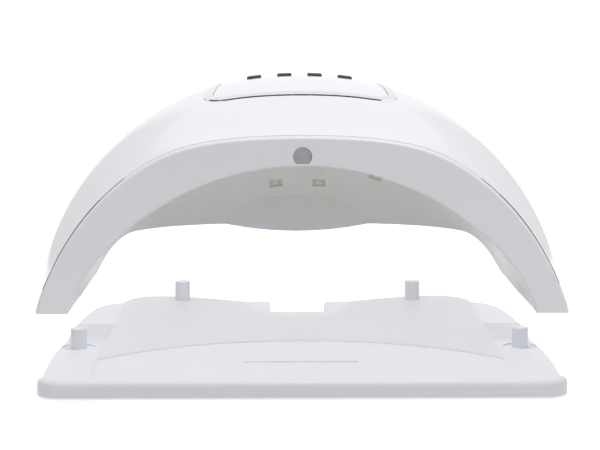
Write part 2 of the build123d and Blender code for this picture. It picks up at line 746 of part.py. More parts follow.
lamp_nodes = {
    "outer_shell": [shell],
    "inner_housing": [housing],
    "trim_ring": [trim_ring],
    "panel_plate": [panel_plate],
    "display_window": [display_window],
    "control_board": [control_board],
    "display_module": [display_module],
    "tact_switches": tact_switches,
    "board_screws": board_screws,
    "driver_board": [driver_board],
    "driver_parts": driver_parts,
    "driver_screws": driver_screws,
    "sensor_window": [sensor_window],
    "sensor_board": [sensor_board, sensor_eye],
    "inlet_socket": [inlet_body],
    "inlet_pin": [inlet_pin],
    "housing_screws": housing_screws,
    "lamp_magnets": lamp_magnets,
    "leg_pads": leg_pads,
}
for name, shape in buttons.items():
    lamp_nodes[name] = [shape]
for row in led_frames:
    lamp_nodes["led_strip_" + row] = [strips[row]]
    lamp_nodes["led_emitters_" + row] = emitters[row]
tray_nodes = {
    "base_tray": [base_tray],
    "tray_cover": [cover],
    "tray_magnets": tray_magnets,
    "tray_screws": tray_screws,
    "tray_feet": tray_feet,
}
for name, shapes in lamp_nodes.items():
    export(shapes, name, lamp_place)
for name, shapes in tray_nodes.items():
    export(shapes, name, tray_place)
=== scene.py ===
"""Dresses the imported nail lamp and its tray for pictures: finishes, small detail, light and camera."""

import json
import logging
import math
from collections.abc import Callable, Iterator
from contextlib import contextmanager
from dataclasses import dataclass
from enum import Enum
from typing import ClassVar

import bmesh
import bpy
from mathutils import Matrix, Vector

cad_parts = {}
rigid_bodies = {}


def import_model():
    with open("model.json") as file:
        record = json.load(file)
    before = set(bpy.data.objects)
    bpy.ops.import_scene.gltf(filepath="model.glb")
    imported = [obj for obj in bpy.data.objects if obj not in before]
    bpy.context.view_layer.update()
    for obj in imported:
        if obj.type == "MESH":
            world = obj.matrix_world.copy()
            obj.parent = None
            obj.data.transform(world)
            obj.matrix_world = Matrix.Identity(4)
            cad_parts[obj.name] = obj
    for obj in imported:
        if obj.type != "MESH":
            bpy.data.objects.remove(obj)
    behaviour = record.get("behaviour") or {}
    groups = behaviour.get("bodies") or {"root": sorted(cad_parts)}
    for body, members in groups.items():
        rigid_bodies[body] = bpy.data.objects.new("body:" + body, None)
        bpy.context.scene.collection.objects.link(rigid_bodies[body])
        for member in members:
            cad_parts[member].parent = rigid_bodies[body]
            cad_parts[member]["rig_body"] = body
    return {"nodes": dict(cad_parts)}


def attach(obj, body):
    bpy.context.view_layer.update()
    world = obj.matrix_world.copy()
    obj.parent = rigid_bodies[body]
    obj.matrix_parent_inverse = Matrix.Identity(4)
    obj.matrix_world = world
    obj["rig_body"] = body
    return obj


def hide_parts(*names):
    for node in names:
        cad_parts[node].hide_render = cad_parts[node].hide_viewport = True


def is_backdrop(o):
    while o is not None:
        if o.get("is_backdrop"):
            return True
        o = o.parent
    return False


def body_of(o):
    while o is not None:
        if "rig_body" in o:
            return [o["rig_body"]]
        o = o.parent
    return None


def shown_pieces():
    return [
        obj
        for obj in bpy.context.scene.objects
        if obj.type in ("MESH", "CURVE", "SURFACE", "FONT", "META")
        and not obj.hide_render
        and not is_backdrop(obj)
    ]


Piece = bpy.types.Object
Socket = bpy.types.NodeSocket
Tree = bpy.types.NodeTree
Looks = dict[str, bpy.types.Material]
Inputs = dict[str | int, object]
Triple = tuple[float, float, float]
Corners = list[Vector]
FaceTest = Callable[[Vector, Vector], bool]

log = logging.getLogger("nail_lamp")
MM = 0.001
LAMP_FRONT = -0.095
LAMP_FEET = 0.0354
ORIGIN = (0, 0, 0)
UP = (0, 0, 1)
DOWN = (0, 0, -1)
# A face looks one way where its normal leans this far that way
FACING = 0.9
BEVEL_ANGLE = math.radians(40)
BEVEL_STEPS = 2
SMOOTH_ANGLE = math.radians(35)
WELD = 1e-6
SORT_DIGITS = 4
FACE_FRONT = Matrix.Rotation(math.pi / 2, 4, "X")
FACE_DOWN = Matrix.Rotation(math.pi, 4, "X")
HALF_TURN = Matrix.Rotation(math.pi, 4, "Z")
QUARTER_TURN = Matrix.Rotation(math.pi / 2, 4, "Z")


# Modelling by hand: what the sub-assemblies share


def clear_selection() -> None:
    """Deselects every object."""
    bpy.ops.object.select_all(action="DESELECT")


def take(piece: Piece) -> None:
    """Makes the piece the only selected and the active object.

    Args:
        piece: The object to work on.
    """
    clear_selection()
    piece.select_set(True)
    bpy.context.view_layer.objects.active = piece


@contextmanager
def editing(piece: Piece) -> Iterator[None]:
    """Opens the piece in edit mode with nothing selected, and closes it again.

    Args:
        piece: The object to edit.
    """
    take(piece)
    bpy.ops.object.mode_set(mode="EDIT")
    bpy.ops.mesh.select_mode(type="FACE")
    bpy.ops.mesh.select_all(action="DESELECT")
    yield
    bpy.ops.object.mode_set(mode="OBJECT")


def select_faces(piece: Piece, test: FaceTest) -> None:
    """Selects only the faces that pass the test.

    Args:
        piece: The object in edit mode.
        test: Says yes to a face from its centre and its normal.
    """
    mesh = bmesh.from_edit_mesh(piece.data)
    mesh.normal_update()
    for part in (mesh.verts, mesh.edges, mesh.faces):
        for item in part:
            item.select_set(False)
    for face in mesh.faces:
        if test(face.calc_center_median(), face.normal):
            face.select_set(True)
    bmesh.update_edit_mesh(piece.data)


@contextmanager
def shaping(piece: Piece, way: Triple = UP) -> Iterator[None]:
    """Opens the piece in edit mode with the faces that look one way selected, and closes it again.

    Args:
        piece: The object to edit.
        way: The way that the selected faces look.
    """
    with editing(piece):
        select_faces(piece, lambda centre, normal: normal.dot(Vector(way)) > FACING)
        yield


def step_in(inset: float, rise: float = 0.0) -> None:
    """Insets the selected faces and moves the new ones along z."""
    bpy.ops.mesh.inset(thickness=inset)
    bpy.ops.transform.translate(value=(0, 0, rise))


def pull(shift: Triple, scale: Triple = (1, 1, 1)) -> None:
    """Extrudes the selected faces by a shift and scales their end."""
    bpy.ops.mesh.extrude_region_move(TRANSFORM_OT_translate={"value": shift})
    bpy.ops.transform.resize(value=scale)


def grow(rise: float, scale: float = 1.0) -> None:
    """Extrudes the selected faces along z and scales their end across z."""
    pull((0, 0, rise), (scale, scale, 1))


def settle(name: str, size: Triple = (1, 1, 1)) -> Piece:
    """Names the primitive just added, and puts its size and place into its mesh.

    Args:
        name: The object's name.
        size: What it is scaled by along each axis.

    Returns:
        The primitive, its object at the origin.
    """
    piece = bpy.context.object
    piece.name = name
    piece.scale = size
    bpy.ops.object.transform_apply(location=True, rotation=True, scale=True)
    return piece


def add_block(name: str, size: Triple, centre: Triple = ORIGIN) -> Piece:
    """Adds a block.

    Args:
        name: The object's name.
        size: Width, depth and height, in metres.
        centre: Where its middle is, in metres.

    Returns:
        The block, its object at the origin.
    """
    clear_selection()
    bpy.ops.mesh.primitive_cube_add(size=1, location=centre)
    return settle(name, size)


def add_drum(name: str, radius: float, height: float, sides: int, centre: Triple = ORIGIN) -> Piece:
    """Adds an upright cylinder.

    Args:
        name: The object's name.
        radius: Its radius, in metres.
        height: Its height, in metres.
        sides: How many sides it has.
        centre: Where its middle is, in metres.

    Returns:
        The cylinder, its object at the origin.
    """
    clear_selection()
    bpy.ops.mesh.primitive_cylinder_add(vertices=sides, radius=radius, depth=height, location=centre)
    return settle(name)


def soften(piece: Piece, width: float) -> None:
    """Rounds the sharp edges of a piece with an applied Bevel, and shades it smooth.

    Args:
        piece: The object.
        width: Width of the rounding, in metres.
    """
    take(piece)
    bpy.ops.object.modifier_add(type="BEVEL")
    bevel = piece.modifiers[-1]
    bevel.width = width
    bevel.segments = BEVEL_STEPS
    bevel.limit_method = "ANGLE"
    bevel.angle_limit = BEVEL_ANGLE
    bpy.ops.object.modifier_apply(modifier=bevel.name)
    bpy.ops.object.shade_smooth_by_angle(angle=SMOOTH_ANGLE)


def cut_away(piece: Piece, tool: Piece) -> None:
    """Cuts the tool's shape out of the piece and deletes the tool.

    Args:
        piece: The object that is cut.
        tool: The object that cuts.
    """
    take(piece)
    bpy.ops.object.modifier_add(type="BOOLEAN")
    cut = piece.modifiers[-1]
    cut.operation = "DIFFERENCE"
    cut.solver = "EXACT"
    cut.object = tool
    bpy.ops.object.modifier_apply(modifier=cut.name)
    bpy.data.objects.remove(tool)


def join(pieces: list[Piece], name: str) -> Piece:
    """Joins several pieces into one.

    Args:
        pieces: The objects, the first of which is kept.
        name: The name of what is left.

    Returns:
        The joined object.
    """
    take(pieces[0])
    for piece in pieces:
        piece.select_set(True)
    if len(pieces) > 1:
        bpy.ops.object.join()
    pieces[0].name = name
    pieces[0].data.name = name
    return pieces[0]


def copy_of(piece: Piece, place: Matrix) -> Piece:
    """Copies a piece with its own mesh.

    Args:
        piece: The object to copy. It stays.
        place: Where the copy's mesh goes.

    Returns:
        The copy, its object at the origin.
    """
    copy = piece.copy()
    copy.data = piece.data.copy()
    copy.data.transform(place)
    bpy.context.scene.collection.objects.link(copy)
    return copy


def copies_at(model: Piece, places: list[Matrix], name: str) -> Piece:
    """Copies a model to each place and joins the copies.

    Args:
        model: The modelled piece, at the origin. It is used up.
        places: Where the copies go.
        name: The name of the joined piece.

    Returns:
        The joined object.
    """
    made = [copy_of(model, place) for place in places]
    bpy.data.objects.remove(model)
    return join(made, name)


def paint(piece: Piece, material: bpy.types.Material, test: FaceTest | None = None) -> None:
    """Gives the piece, or those of its faces that pass the test, a material.

    Args:
        piece: The object, in object mode.
        material: The material.
        test: Says yes to a face from its centre and its normal. Without it, the whole piece is painted.
    """
    if test is None:
        piece.data.materials.clear()
        piece.data.materials.append(material)
        return
    piece.data.materials.append(material)
    index = len(piece.data.materials) - 1
    for polygon in piece.data.polygons:
        if test(polygon.center, polygon.normal):
            polygon.material_index = index


def at(x: float = 0.0, y: float = 0.0, z: float = 0.0) -> Matrix:
    """The place that lies so far from the origin."""
    return Matrix.Translation((x, y, z))


def both_sides(places: list[Matrix]) -> list[Matrix]:
    """The places, and again with half a turn round the z axis."""
    return places + [HALF_TURN @ place for place in places]


def box_of(points: Corners) -> tuple[Vector, Vector]:
    """Finds the box round some points.

    Args:
        points: The points.

    Returns:
        Its lowest and its highest corner.
    """
    low = Vector([min(point[axis] for point in points) for axis in range(3)])
    high = Vector([max(point[axis] for point in points) for axis in range(3)])
    return low, high


def middle(points: Corners) -> Vector:
    """Middle of the box round some points."""
    low, high = box_of(points)
    return (low + high) / 2


def floor_place(points: Corners) -> Matrix:
    """The place at the middle of the underside of the box round some points."""
    low, high = box_of(points)
    return at((low.x + high.x) / 2, (low.y + high.y) / 2, low.z)


def islands(node: Piece) -> list[Corners]:
    """The corners of each separate solid of a CAD node, read from a merged copy of its mesh.

    Args:
        node: The CAD node.

    Returns:
        One list of corners for each solid, ordered by where its middle is.
    """
    mesh = bmesh.new()
    mesh.from_mesh(node.data)
    bmesh.ops.remove_doubles(mesh, verts=mesh.verts, dist=WELD)
    seen: set[bmesh.types.BMVert] = set()
    solids = []
    for start in mesh.verts:
        if start in seen:
            continue
        seen.add(start)
        solid, queue = [], [start]
        while queue:
            vert = queue.pop()
            solid.append(vert.co.copy())
            for edge in vert.link_edges:
                other = edge.other_vert(vert)
                if other not in seen:
                    seen.add(other)
                    queue.append(other)
        solids.append(solid)
    mesh.free()
    return sorted(solids, key=lambda solid: tuple(round(value, SORT_DIGITS) for value in middle(solid)))


# Finishes and the surface detail that they share


def wire(node: bpy.types.Node, inputs: Inputs) -> None:
    """Gives the inputs of a shader node their values, or links them to what feeds them.

    Args:
        node: The node.
        inputs: For each input its value, or the socket that feeds it.
    """
    for label, value in inputs.items():
        if isinstance(value, Socket):
            node.id_data.links.new(value, node.inputs[label])
        else:
            node.inputs[label].default_value = value


def add_node(tree: Tree, kind: str, inputs: Inputs, **options: object) -> bpy.types.Node:
    """Adds a shader node with its options set and its inputs fed.

    Args:
        tree: The node tree that it goes into.
        kind: Its type, less the word ShaderNode.
        inputs: For each input its value, or the socket that feeds it.
        options: The node's other settings by name.

    Returns:
        The node.
    """
    node = tree.nodes.new("ShaderNode" + kind)
    for label, value in options.items():
        setattr(node, label, value)
    wire(node, inputs)
    return node


class Surface(Enum):
    """The detail that a finish carries: the name of its node group, and the scales that it takes."""

    MOULDED = ("moulded_surface", "Tone Scale", "Grain Scale")
    PLATED = ("plated_surface", "Tone Scale", "Grain Scale")
    LACQUERED = ("lacquered_board", "Grain Scale")


class Detail:
    """The node group of one surface: it varies a colour and a roughness, and gives a height."""

    colours: ClassVar[tuple[str, str]] = ("Colour", "Shade")
    tone_octaves: ClassVar[float] = 3.0
    fine_octaves: ClassVar[float] = 2.0
    line_octaves: ClassVar[float] = 4.0
    line_stretch: ClassVar[Triple] = (0.06, 1.0, 1.0)
    track_edge: ClassVar[float] = 0.42
    noise_middle: ClassVar[float] = 0.5

    def __init__(self, surface: Surface) -> None:
        """Builds the group.

        Args:
            surface: Which detail it gives.
        """
        name, *scales = surface.value
        self.tree = bpy.data.node_groups.new(name, "ShaderNodeTree")
        for label in (*self.colours, *scales, "Roughness", "Roughness Spread"):
            self.add_socket(label, "INPUT")
        for label in ("Colour", "Roughness", "Height"):
            self.add_socket(label, "OUTPUT")
        self.given = self.tree.nodes.new("NodeGroupInput").outputs
        self.place = add_node(self.tree, "TexCoord", {}).outputs["Object"]
        self.finish(*self.patterns(surface))

    def add_socket(self, label: str, way: str) -> None:
        """Adds an INPUT or an OUTPUT to the group. Its name tells a colour from a number."""
        kind = "NodeSocketColor" if label in self.colours else "NodeSocketFloat"
        self.tree.interface.new_socket(name=label, in_out=way, socket_type=kind)

    def noise(self, scale: str, octaves: float, place: Socket | None = None) -> Socket:
        """Adds noise at the scale of that input. Without a place it is read on object coordinates."""
        inputs = {"Vector": place or self.place, "Scale": self.given[scale], "Detail": octaves}
        return add_node(self.tree, "TexNoise", inputs).outputs["Fac"]

    def patterns(self, surface: Surface) -> tuple[Socket, Socket, Socket]:
        """Builds what shows on the surface.

        Moulded plastic has soft changes of tone and a fine grain, plated metal fine drawn lines and a cloudy
        roughness, and the lacquer of a circuit board raised tracks.

        Args:
            surface: Which detail it gives.

        Returns:
            The patterns of the colour, of the roughness and of the height.
        """
        if surface is Surface.MOULDED:
            tone = self.noise("Tone Scale", self.tone_octaves)
            return tone, tone, self.noise("Grain Scale", self.fine_octaves)
        if surface is Surface.PLATED:
            drawn = add_node(self.tree, "Mapping", {"Vector": self.place, "Scale": self.line_stretch})
            lines = self.noise("Grain Scale", self.line_octaves, drawn.outputs["Vector"])
            return lines, self.noise("Tone Scale", self.fine_octaves), lines
        inputs = {"Vector": self.place, "Scale": self.given["Grain Scale"]}
        voronoi = add_node(self.tree, "TexVoronoi", inputs, distance="CHEBYCHEV", feature="F1")
        cells = voronoi.outputs["Distance"]
        edge = add_node(self.tree, "Math", {0: cells, 1: self.track_edge}, operation="GREATER_THAN")
        return edge.outputs[0], cells, edge.outputs[0]

    def finish(self, tone: Socket, cloud: Socket, height: Socket) -> None:
        """Mixes the colours, varies the roughness round its value, and feeds the outputs.

        Args:
            tone: The pattern that goes from the colour to its shade.
            cloud: The pattern that the roughness follows.
            height: The pattern of the relief.
        """
        colours = {"Factor": tone, "A": self.given["Colour"], "B": self.given["Shade"]}
        mix = add_node(self.tree, "Mix", colours, data_type="RGBA")
        offset = add_node(self.tree, "Math", {0: cloud, 1: self.noise_middle}, operation="SUBTRACT")
        spread = {0: offset.outputs[0], 1: self.given["Roughness Spread"], 2: self.given["Roughness"]}
        rough = add_node(self.tree, "Math", spread, operation="MULTIPLY_ADD")
        ends = {"Colour": mix.outputs["Result"], "Roughness": rough.outputs[0], "Height": height}
        wire(self.tree.nodes.new("NodeGroupOutput"), ends)


@dataclass(frozen=True)
class Finish:
    """One finish of the lamp, made into a material once. Its relief is in millimetres."""

    name: str
    colour: Triple
    shade: Triple
    surface: Surface = Surface.MOULDED
    rough: float = 0.3
    uneven: float = 0.1
    tone: float = 18.0
    grain: float = 900.0
    relief: float = 0.02
    coat: float = 0.0
    coat_rough: float = 0.1
    specular: float = 0.5
    ior: ClassVar[float] = 1.46

    def material(self, details: dict[Surface, Detail]) -> bpy.types.Material:
        """Builds the material.

        Args:
            details: The shared node groups.

        Returns:
            The finished material.
        """
        made = bpy.data.materials.new(self.name)
        made.use_nodes = True
        tree = made.node_tree
        pattern = add_node(tree, "Group", {}, node_tree=details[self.surface].tree)
        values = {
            "Colour": (*self.colour, 1), "Shade": (*self.shade, 1), "Tone Scale": self.tone,
            "Grain Scale": self.grain, "Roughness": self.rough, "Roughness Spread": self.uneven,
        }
        for socket in pattern.inputs:
            socket.default_value = values[socket.name]
        relief = {"Strength": 1.0, "Distance": self.relief * MM, "Height": pattern.outputs["Height"]}
        wire(tree.nodes["Principled BSDF"], {
            "Base Color": pattern.outputs["Colour"], "Roughness": pattern.outputs["Roughness"],
            "Normal": add_node(tree, "Bump", relief).outputs["Normal"],
            "Metallic": float(self.surface is Surface.PLATED), "IOR": self.ior,
            "Specular IOR Level": self.specular, "Coat Weight": self.coat, "Coat Roughness": self.coat_rough,
        })
        return made


FINISHES = (
    Finish("shell_gloss", (0.84, 0.85, 0.88), (0.82, 0.83, 0.865), rough=0.2, uneven=0.08, tone=9,
           grain=500, relief=0.004, coat=0.25, coat_rough=0.06),
    Finish("band_gloss", (0.82, 0.825, 0.84), (0.80, 0.805, 0.822), rough=0.26, uneven=0.08, tone=11,
           grain=600, relief=0.004, coat=0.15),
    Finish("panel_gloss", (0.84, 0.85, 0.885), (0.82, 0.83, 0.868), rough=0.15, uneven=0.06, tone=20,
           grain=500, relief=0.003, coat=0.4, coat_rough=0.04),
    # Painted shade: the liner is the band's moulding made darker and warmer where it lines the hand's cavity.
    Finish("liner_satin", (0.775, 0.77, 0.738), (0.75, 0.745, 0.713), rough=0.34, tone=12, grain=700,
           relief=0.005),
    # The next two are painted shadow: near-black and grey tones for the shade in the open seam between dome
    # and band.
    Finish("seam_grey", (0.05, 0.05, 0.055), (0.09, 0.09, 0.095), rough=0.6, tone=60, grain=1500,
           relief=0.004),
    Finish("seam_pale", (0.32, 0.32, 0.33), (0.38, 0.38, 0.39), rough=0.6, tone=60, grain=1500,
           relief=0.004),
    Finish("tray_satin", (0.88, 0.885, 0.925), (0.86, 0.866, 0.908), rough=0.42, uneven=0.12, tone=14,
           grain=1500, relief=0.012),
    Finish("cover_satin", (0.80, 0.805, 0.83), (0.775, 0.78, 0.81), rough=0.5, tone=16, grain=1200),
    Finish("ring_chrome", (0.80, 0.80, 0.82), (0.74, 0.74, 0.765), Surface.PLATED, rough=0.14,
           uneven=0.06, tone=60, grain=350, relief=0.002),
    Finish("key_black", (0.018, 0.018, 0.02), (0.028, 0.028, 0.03), rough=0.45, uneven=0.12, tone=120,
           grain=2200, relief=0.008, specular=0.25),
    Finish("window_smoke", (0.012, 0.012, 0.015), (0.02, 0.02, 0.024), rough=0.08, uneven=0.04, tone=60,
           relief=0.001, coat=1.0, coat_rough=0.03),
    Finish("moulding_black", (0.03, 0.03, 0.032), (0.048, 0.048, 0.05), rough=0.5, uneven=0.14, tone=90,
           grain=1800, relief=0.015),
    Finish("board_green", (0.018, 0.13, 0.05), (0.03, 0.21, 0.085), Surface.LACQUERED, rough=0.32,
           uneven=0.12, grain=300, relief=0.03, coat=0.4),
    Finish("strip_white", (0.74, 0.74, 0.71), (0.66, 0.66, 0.62), Surface.LACQUERED, rough=0.4, grain=260),
    Finish("package_cream", (0.60, 0.60, 0.53), (0.55, 0.55, 0.48), rough=0.42, tone=300, grain=3000,
           relief=0.006),
    Finish("phosphor", (0.64, 0.665, 0.455), (0.58, 0.61, 0.39), tone=500, grain=4000, relief=0.01, coat=0.5),
    Finish("contact_dark", (0.36, 0.36, 0.335), (0.41, 0.41, 0.385), rough=0.45, tone=400, grain=3000,
           relief=0.005),
    Finish("filter_grey", (0.36, 0.36, 0.365), (0.46, 0.46, 0.465), tone=120, grain=1500, relief=0.003,
           coat=0.4),
    Finish("screw_steel", (0.55, 0.55, 0.57), (0.42, 0.42, 0.44), Surface.PLATED, rough=0.28, uneven=0.14,
           tone=300, grain=1500, relief=0.004),
    Finish("magnet_nickel", (0.62, 0.61, 0.58), (0.52, 0.51, 0.49), Surface.PLATED, rough=0.2, tone=250,
           grain=1200, relief=0.003),
    Finish("pin_brass", (0.72, 0.55, 0.24), (0.6, 0.44, 0.17), Surface.PLATED, rough=0.22, tone=300,
           grain=1500, relief=0.003),
    Finish("pad_grey", (0.19, 0.19, 0.2), (0.25, 0.25, 0.26), rough=0.75, uneven=0.15, tone=80, grain=1600,
           relief=0.05),
    Finish("sleeve_blue", (0.03, 0.05, 0.12), (0.045, 0.07, 0.16), rough=0.35, tone=200, grain=1500,
           relief=0.004),
    Finish("winding_copper", (0.62, 0.26, 0.1), (0.5, 0.19, 0.07), Surface.PLATED, uneven=0.12, tone=300,
           grain=1200, relief=0.004),
    Finish("segment_pale", (0.42, 0.43, 0.42), (0.36, 0.37, 0.36), rough=0.4, tone=300, grain=2500,
           relief=0.004),
    Finish("lead_tin", (0.68, 0.68, 0.7), (0.55, 0.55, 0.57), Surface.PLATED, uneven=0.12, tone=400,
           grain=2000, relief=0.003),
)


@dataclass
class Maker:
    """What small parts and sub-assemblies have in common: they shape pieces and give them finishes."""

    looks: Looks

    def form(self, piece: Piece, finish: str, rounding: float, *steps: tuple, way: Triple = UP) -> Piece:
        """Works one side of a primitive in steps, rounds its sharp edges and paints it.

        Args:
            piece: The primitive.
            finish: The name of its finish.
            rounding: Width of the rounding, in metres.
            steps: For each step the function that makes it and its amounts.
            way: The side that is worked.

        Returns:
            The same piece.
        """
        with shaping(piece, way):
            for step, *amounts in steps:
                step(*amounts)
        soften(piece, rounding)
        paint(piece, self.looks[finish])
        return piece


# Small parts that repeat


@dataclass
class SmallPart(Maker):
    """A part that is modelled once, at the origin, and then copied to its places."""

    def model(self) -> Piece:
        """Models the part. Each kind does it in its own way."""
        raise NotImplementedError


@dataclass
class LightEmitter(SmallPart):
    """One surface-mounted light source, modelled lying on its back with its face up."""

    width: float = 5.2 * MM
    height: float = 3.6 * MM
    thickness: float = 1.2 * MM
    rounding: float = 0.08 * MM
    rim: float = 0.3 * MM
    well: float = 0.22 * MM
    well_taper: float = 0.96
    well_end: float = 0.3 * MM
    crown_ring: float = 0.34 * MM
    crown_rises: tuple[float, ...] = (0.21 * MM, 0.14 * MM, 0.07 * MM)
    contact_width: float = 0.75 * MM
    contact_height: float = 2.7 * MM
    contact_overlap: float = 0.1 * MM
    contact_border: float = 0.12 * MM
    contact_rise: float = 0.03 * MM
    contact_rounding: float = 0.04 * MM
    skirt_width: float = 6.5 * MM
    skirt_height: float = 4.7 * MM
    skirt_thickness: float = 0.8 * MM
    skirt_rise: float = 0.3 * MM
    skirt_border: float = 0.1 * MM
    skirt_sink: float = 0.06 * MM
    skirt_rounding: float = 0.05 * MM
    dish_lean: tuple[float, float] = (0.3, 0.97)
    crown_lean: float = 0.5

    @staticmethod
    def frame(corners: Corners, inside: Vector) -> Matrix:
        """Where a light source goes: x along the plain block's longest edge, z along its shortest.

        Args:
            corners: The block's eight corners.
            inside: The point that z leans towards.

        Returns:
            The place as a matrix.
        """
        centre = sum(corners, Vector()) / len(corners)
        reach = sorted((corner - corners[0] for corner in corners[1:]), key=lambda edge: edge.length)
        # The nearest corner lies along the shortest edge, the fourth nearest along the longest
        up, along = reach[0].normalized(), reach[3].normalized()
        if up.dot(inside - centre) < 0:
            up = -up
        turn = Matrix((along, up.cross(along), up)).transposed().to_4x4()
        return Matrix.Translation(centre) @ turn

    def in_dish(self, centre: Vector, normal: Vector) -> bool:
        """Whether a face of the skirt slopes down to the package, in the window of the liner.

        Args:
            centre: The face's middle.
            normal: The face's normal.

        Returns:
            True for the four slopes.
        """
        half_width = self.skirt_width / 2 - self.rounding
        half_height = self.skirt_height / 2 - self.rounding
        low, high = self.dish_lean
        return abs(centre.x) < half_width and abs(centre.y) < half_height and low < normal.z < high

    def contact(self, end: int, reach: float) -> Piece:
        """Models the contact at one end of the well.

        Args:
            end: 1 or -1, the end that it lies at.
            reach: How far the well reaches from the middle, in metres.

        Returns:
            The contact at its place.
        """
        place = end * (reach - self.contact_width / 2 + self.contact_overlap)
        size = (self.contact_width, self.contact_height, self.well)
        contact = add_block("contact", size, (place, 0, self.thickness / 2 - self.well / 2))
        step = (step_in, self.contact_border, self.contact_rise)
        return self.form(contact, "contact_dark", self.contact_rounding, step)

    def skirt(self) -> Piece:
        """Models the dished skirt that fills the window in the liner round the package.

        Returns:
            The skirt at its place.
        """
        size = (self.skirt_width, self.skirt_height, self.skirt_thickness)
        level = self.thickness / 2 + self.skirt_rise - self.skirt_thickness / 2
        skirt = add_block("skirt", size, (0, 0, level))
        slope = (step_in, (self.skirt_height - self.height) / 2, -self.skirt_rise - self.skirt_sink)
        # The skirt takes the liner's painted shade, to match the liner round it.
        self.form(skirt, "liner_satin", self.skirt_rounding, (step_in, self.skirt_border), slope)
        paint(skirt, self.looks["package_cream"], self.in_dish)
        return skirt

    def model(self) -> Piece:
        """Models the package, the crowned phosphor in its well, the contacts and the skirt.

        Returns:
            The light source.
        """
        package = add_block("light_source", (self.width, self.height, self.thickness))
        crown = [(step_in, self.crown_ring, rise) for rise in self.crown_rises]
        well = ((step_in, self.rim), (grow, -self.well, self.well_taper))
        self.form(package, "package_cream", self.rounding, *well, *crown)
        reach = self.width / 2 - self.rim - self.well_end
        side = self.height / 2 - self.rim
        paint(package, self.looks["phosphor"], lambda centre, normal: (
            normal.z > self.crown_lean and abs(centre.x) < reach and abs(centre.y) < side
        ))
        contacts = [self.contact(end, reach) for end in (-1, 1)]
        return join([package, *contacts, self.skirt()], "light_source")


@dataclass
class CrossScrew(SmallPart):
    """A pan-head screw with a cross recess and a ridged shank, modelled head up, its top at the origin."""

    head_up: bool = False
    head_radius: float = 2.3 * MM
    head_height: float = 1.3 * MM
    head_border: float = 0.35 * MM
    rounding: float = 0.28 * MM
    shank_radius: float = 1.25 * MM
    core_share: float = 0.86
    tip_taper: float = 0.45
    length: float = 6.0 * MM
    pitch: float = 0.9 * MM
    ridge: Triple = (0.4, 0.25, 0.35)
    recess_depth: float = 1.6 * MM
    recess_width: float = 0.55 * MM
    recess_reach: float = 1.15
    recess_taper: float = 0.6
    recess_step: float = 0.02 * MM
    sides: int = 36
    turn_step: float = 0.7

    def model(self) -> Piece:
        """Models the screw.

        Returns:
            The screw.
        """
        level = -self.head_height / 2
        screw = add_drum("screw", self.head_radius, self.head_height, self.sides, (0, 0, level))
        core = self.shank_radius * self.core_share
        scales = (1.0, self.shank_radius / core, core / self.shank_radius)
        with shaping(screw):
            step_in(self.head_border)
        with shaping(screw, DOWN):
            step_in(self.head_radius - core)
            turns = int(self.length / self.pitch) - 1
            for _ in range(turns):
                for share, scale in zip(self.ridge, scales):
                    grow(-self.pitch * share, scale)
            grow(-(self.length - turns * self.pitch), self.tip_taper)
        soften(screw, self.rounding)
        arm = self.head_radius * self.recess_reach
        for size in ((arm, self.recess_width, self.recess_depth),
                     (self.recess_width, arm, self.recess_depth + self.recess_step)):
            bar = add_block("recess", size)
            with shaping(bar, DOWN):
                bpy.ops.transform.resize(value=(self.recess_taper, self.recess_taper, 1))
            cut_away(screw, bar)
        take(screw)
        bpy.ops.object.shade_smooth_by_angle(angle=SMOOTH_ANGLE)
        paint(screw, self.looks["screw_steel"])
        return screw

    def stand_for(self, node: Piece, name: str) -> Piece:
        """Puts a screw in place of each solid of a CAD node.

        Args:
            node: The CAD node with the plain screws.
            name: The name of the new piece.

        Returns:
            The joined screws.
        """
        places = []
        for index, corners in enumerate(islands(node)):
            low, high = box_of(corners)
            spot = middle(corners)
            spot.z = high.z if self.head_up else low.z
            turn = Matrix.Rotation(self.turn_step * index, 4, "Z")
            places.append(Matrix.Translation(spot) @ (turn if self.head_up else FACE_DOWN @ turn))
            self.length = high.z - low.z - self.head_height
        return copies_at(self.model(), places, name)


@dataclass
class Capacitor(SmallPart):
    """An upright capacitor: a shrunk sleeve rolled over the can's edge, and a scored metal top."""

    radius: float = 4.0 * MM
    height: float = 7.5 * MM
    foot: float = 0.14
    crimp: float = 0.93
    crimp_height: float = 0.05
    wall: float = 0.72
    shoulder: float = 0.04
    top_share: float = 0.94
    top_level: float = 0.9
    rim: float = 0.6 * MM
    rounding: float = 0.1 * MM
    score_width: float = 0.3 * MM
    score_depth: float = 0.2 * MM

    def model(self) -> Piece:
        """Models the capacitor standing on the origin.

        Returns:
            The capacitor.
        """
        foot = self.foot * self.height
        can = add_drum("capacitor", self.radius, foot, sides=40, centre=(0, 0, foot / 2))
        self.form(
            can, "sleeve_blue", self.rounding,
            (grow, self.crimp_height * self.height, self.crimp),
            (grow, self.crimp_height * self.height, 1 / self.crimp),
            (grow, self.wall * self.height),
            (grow, self.shoulder * self.height, self.top_share),
            (step_in, self.rim, -0.5 * self.score_depth),
        )
        for size in ((self.radius, self.score_width), (self.score_width, self.radius)):
            cut_away(can, add_block("score", (*size, 2 * self.score_depth), (0, 0, self.height)))
        reach = self.top_share * self.radius - self.rim
        paint(can, self.looks["lead_tin"], lambda centre, normal: (
            centre.z > self.top_level * self.height and math.hypot(centre.x, centre.y) < reach
        ))
        return can


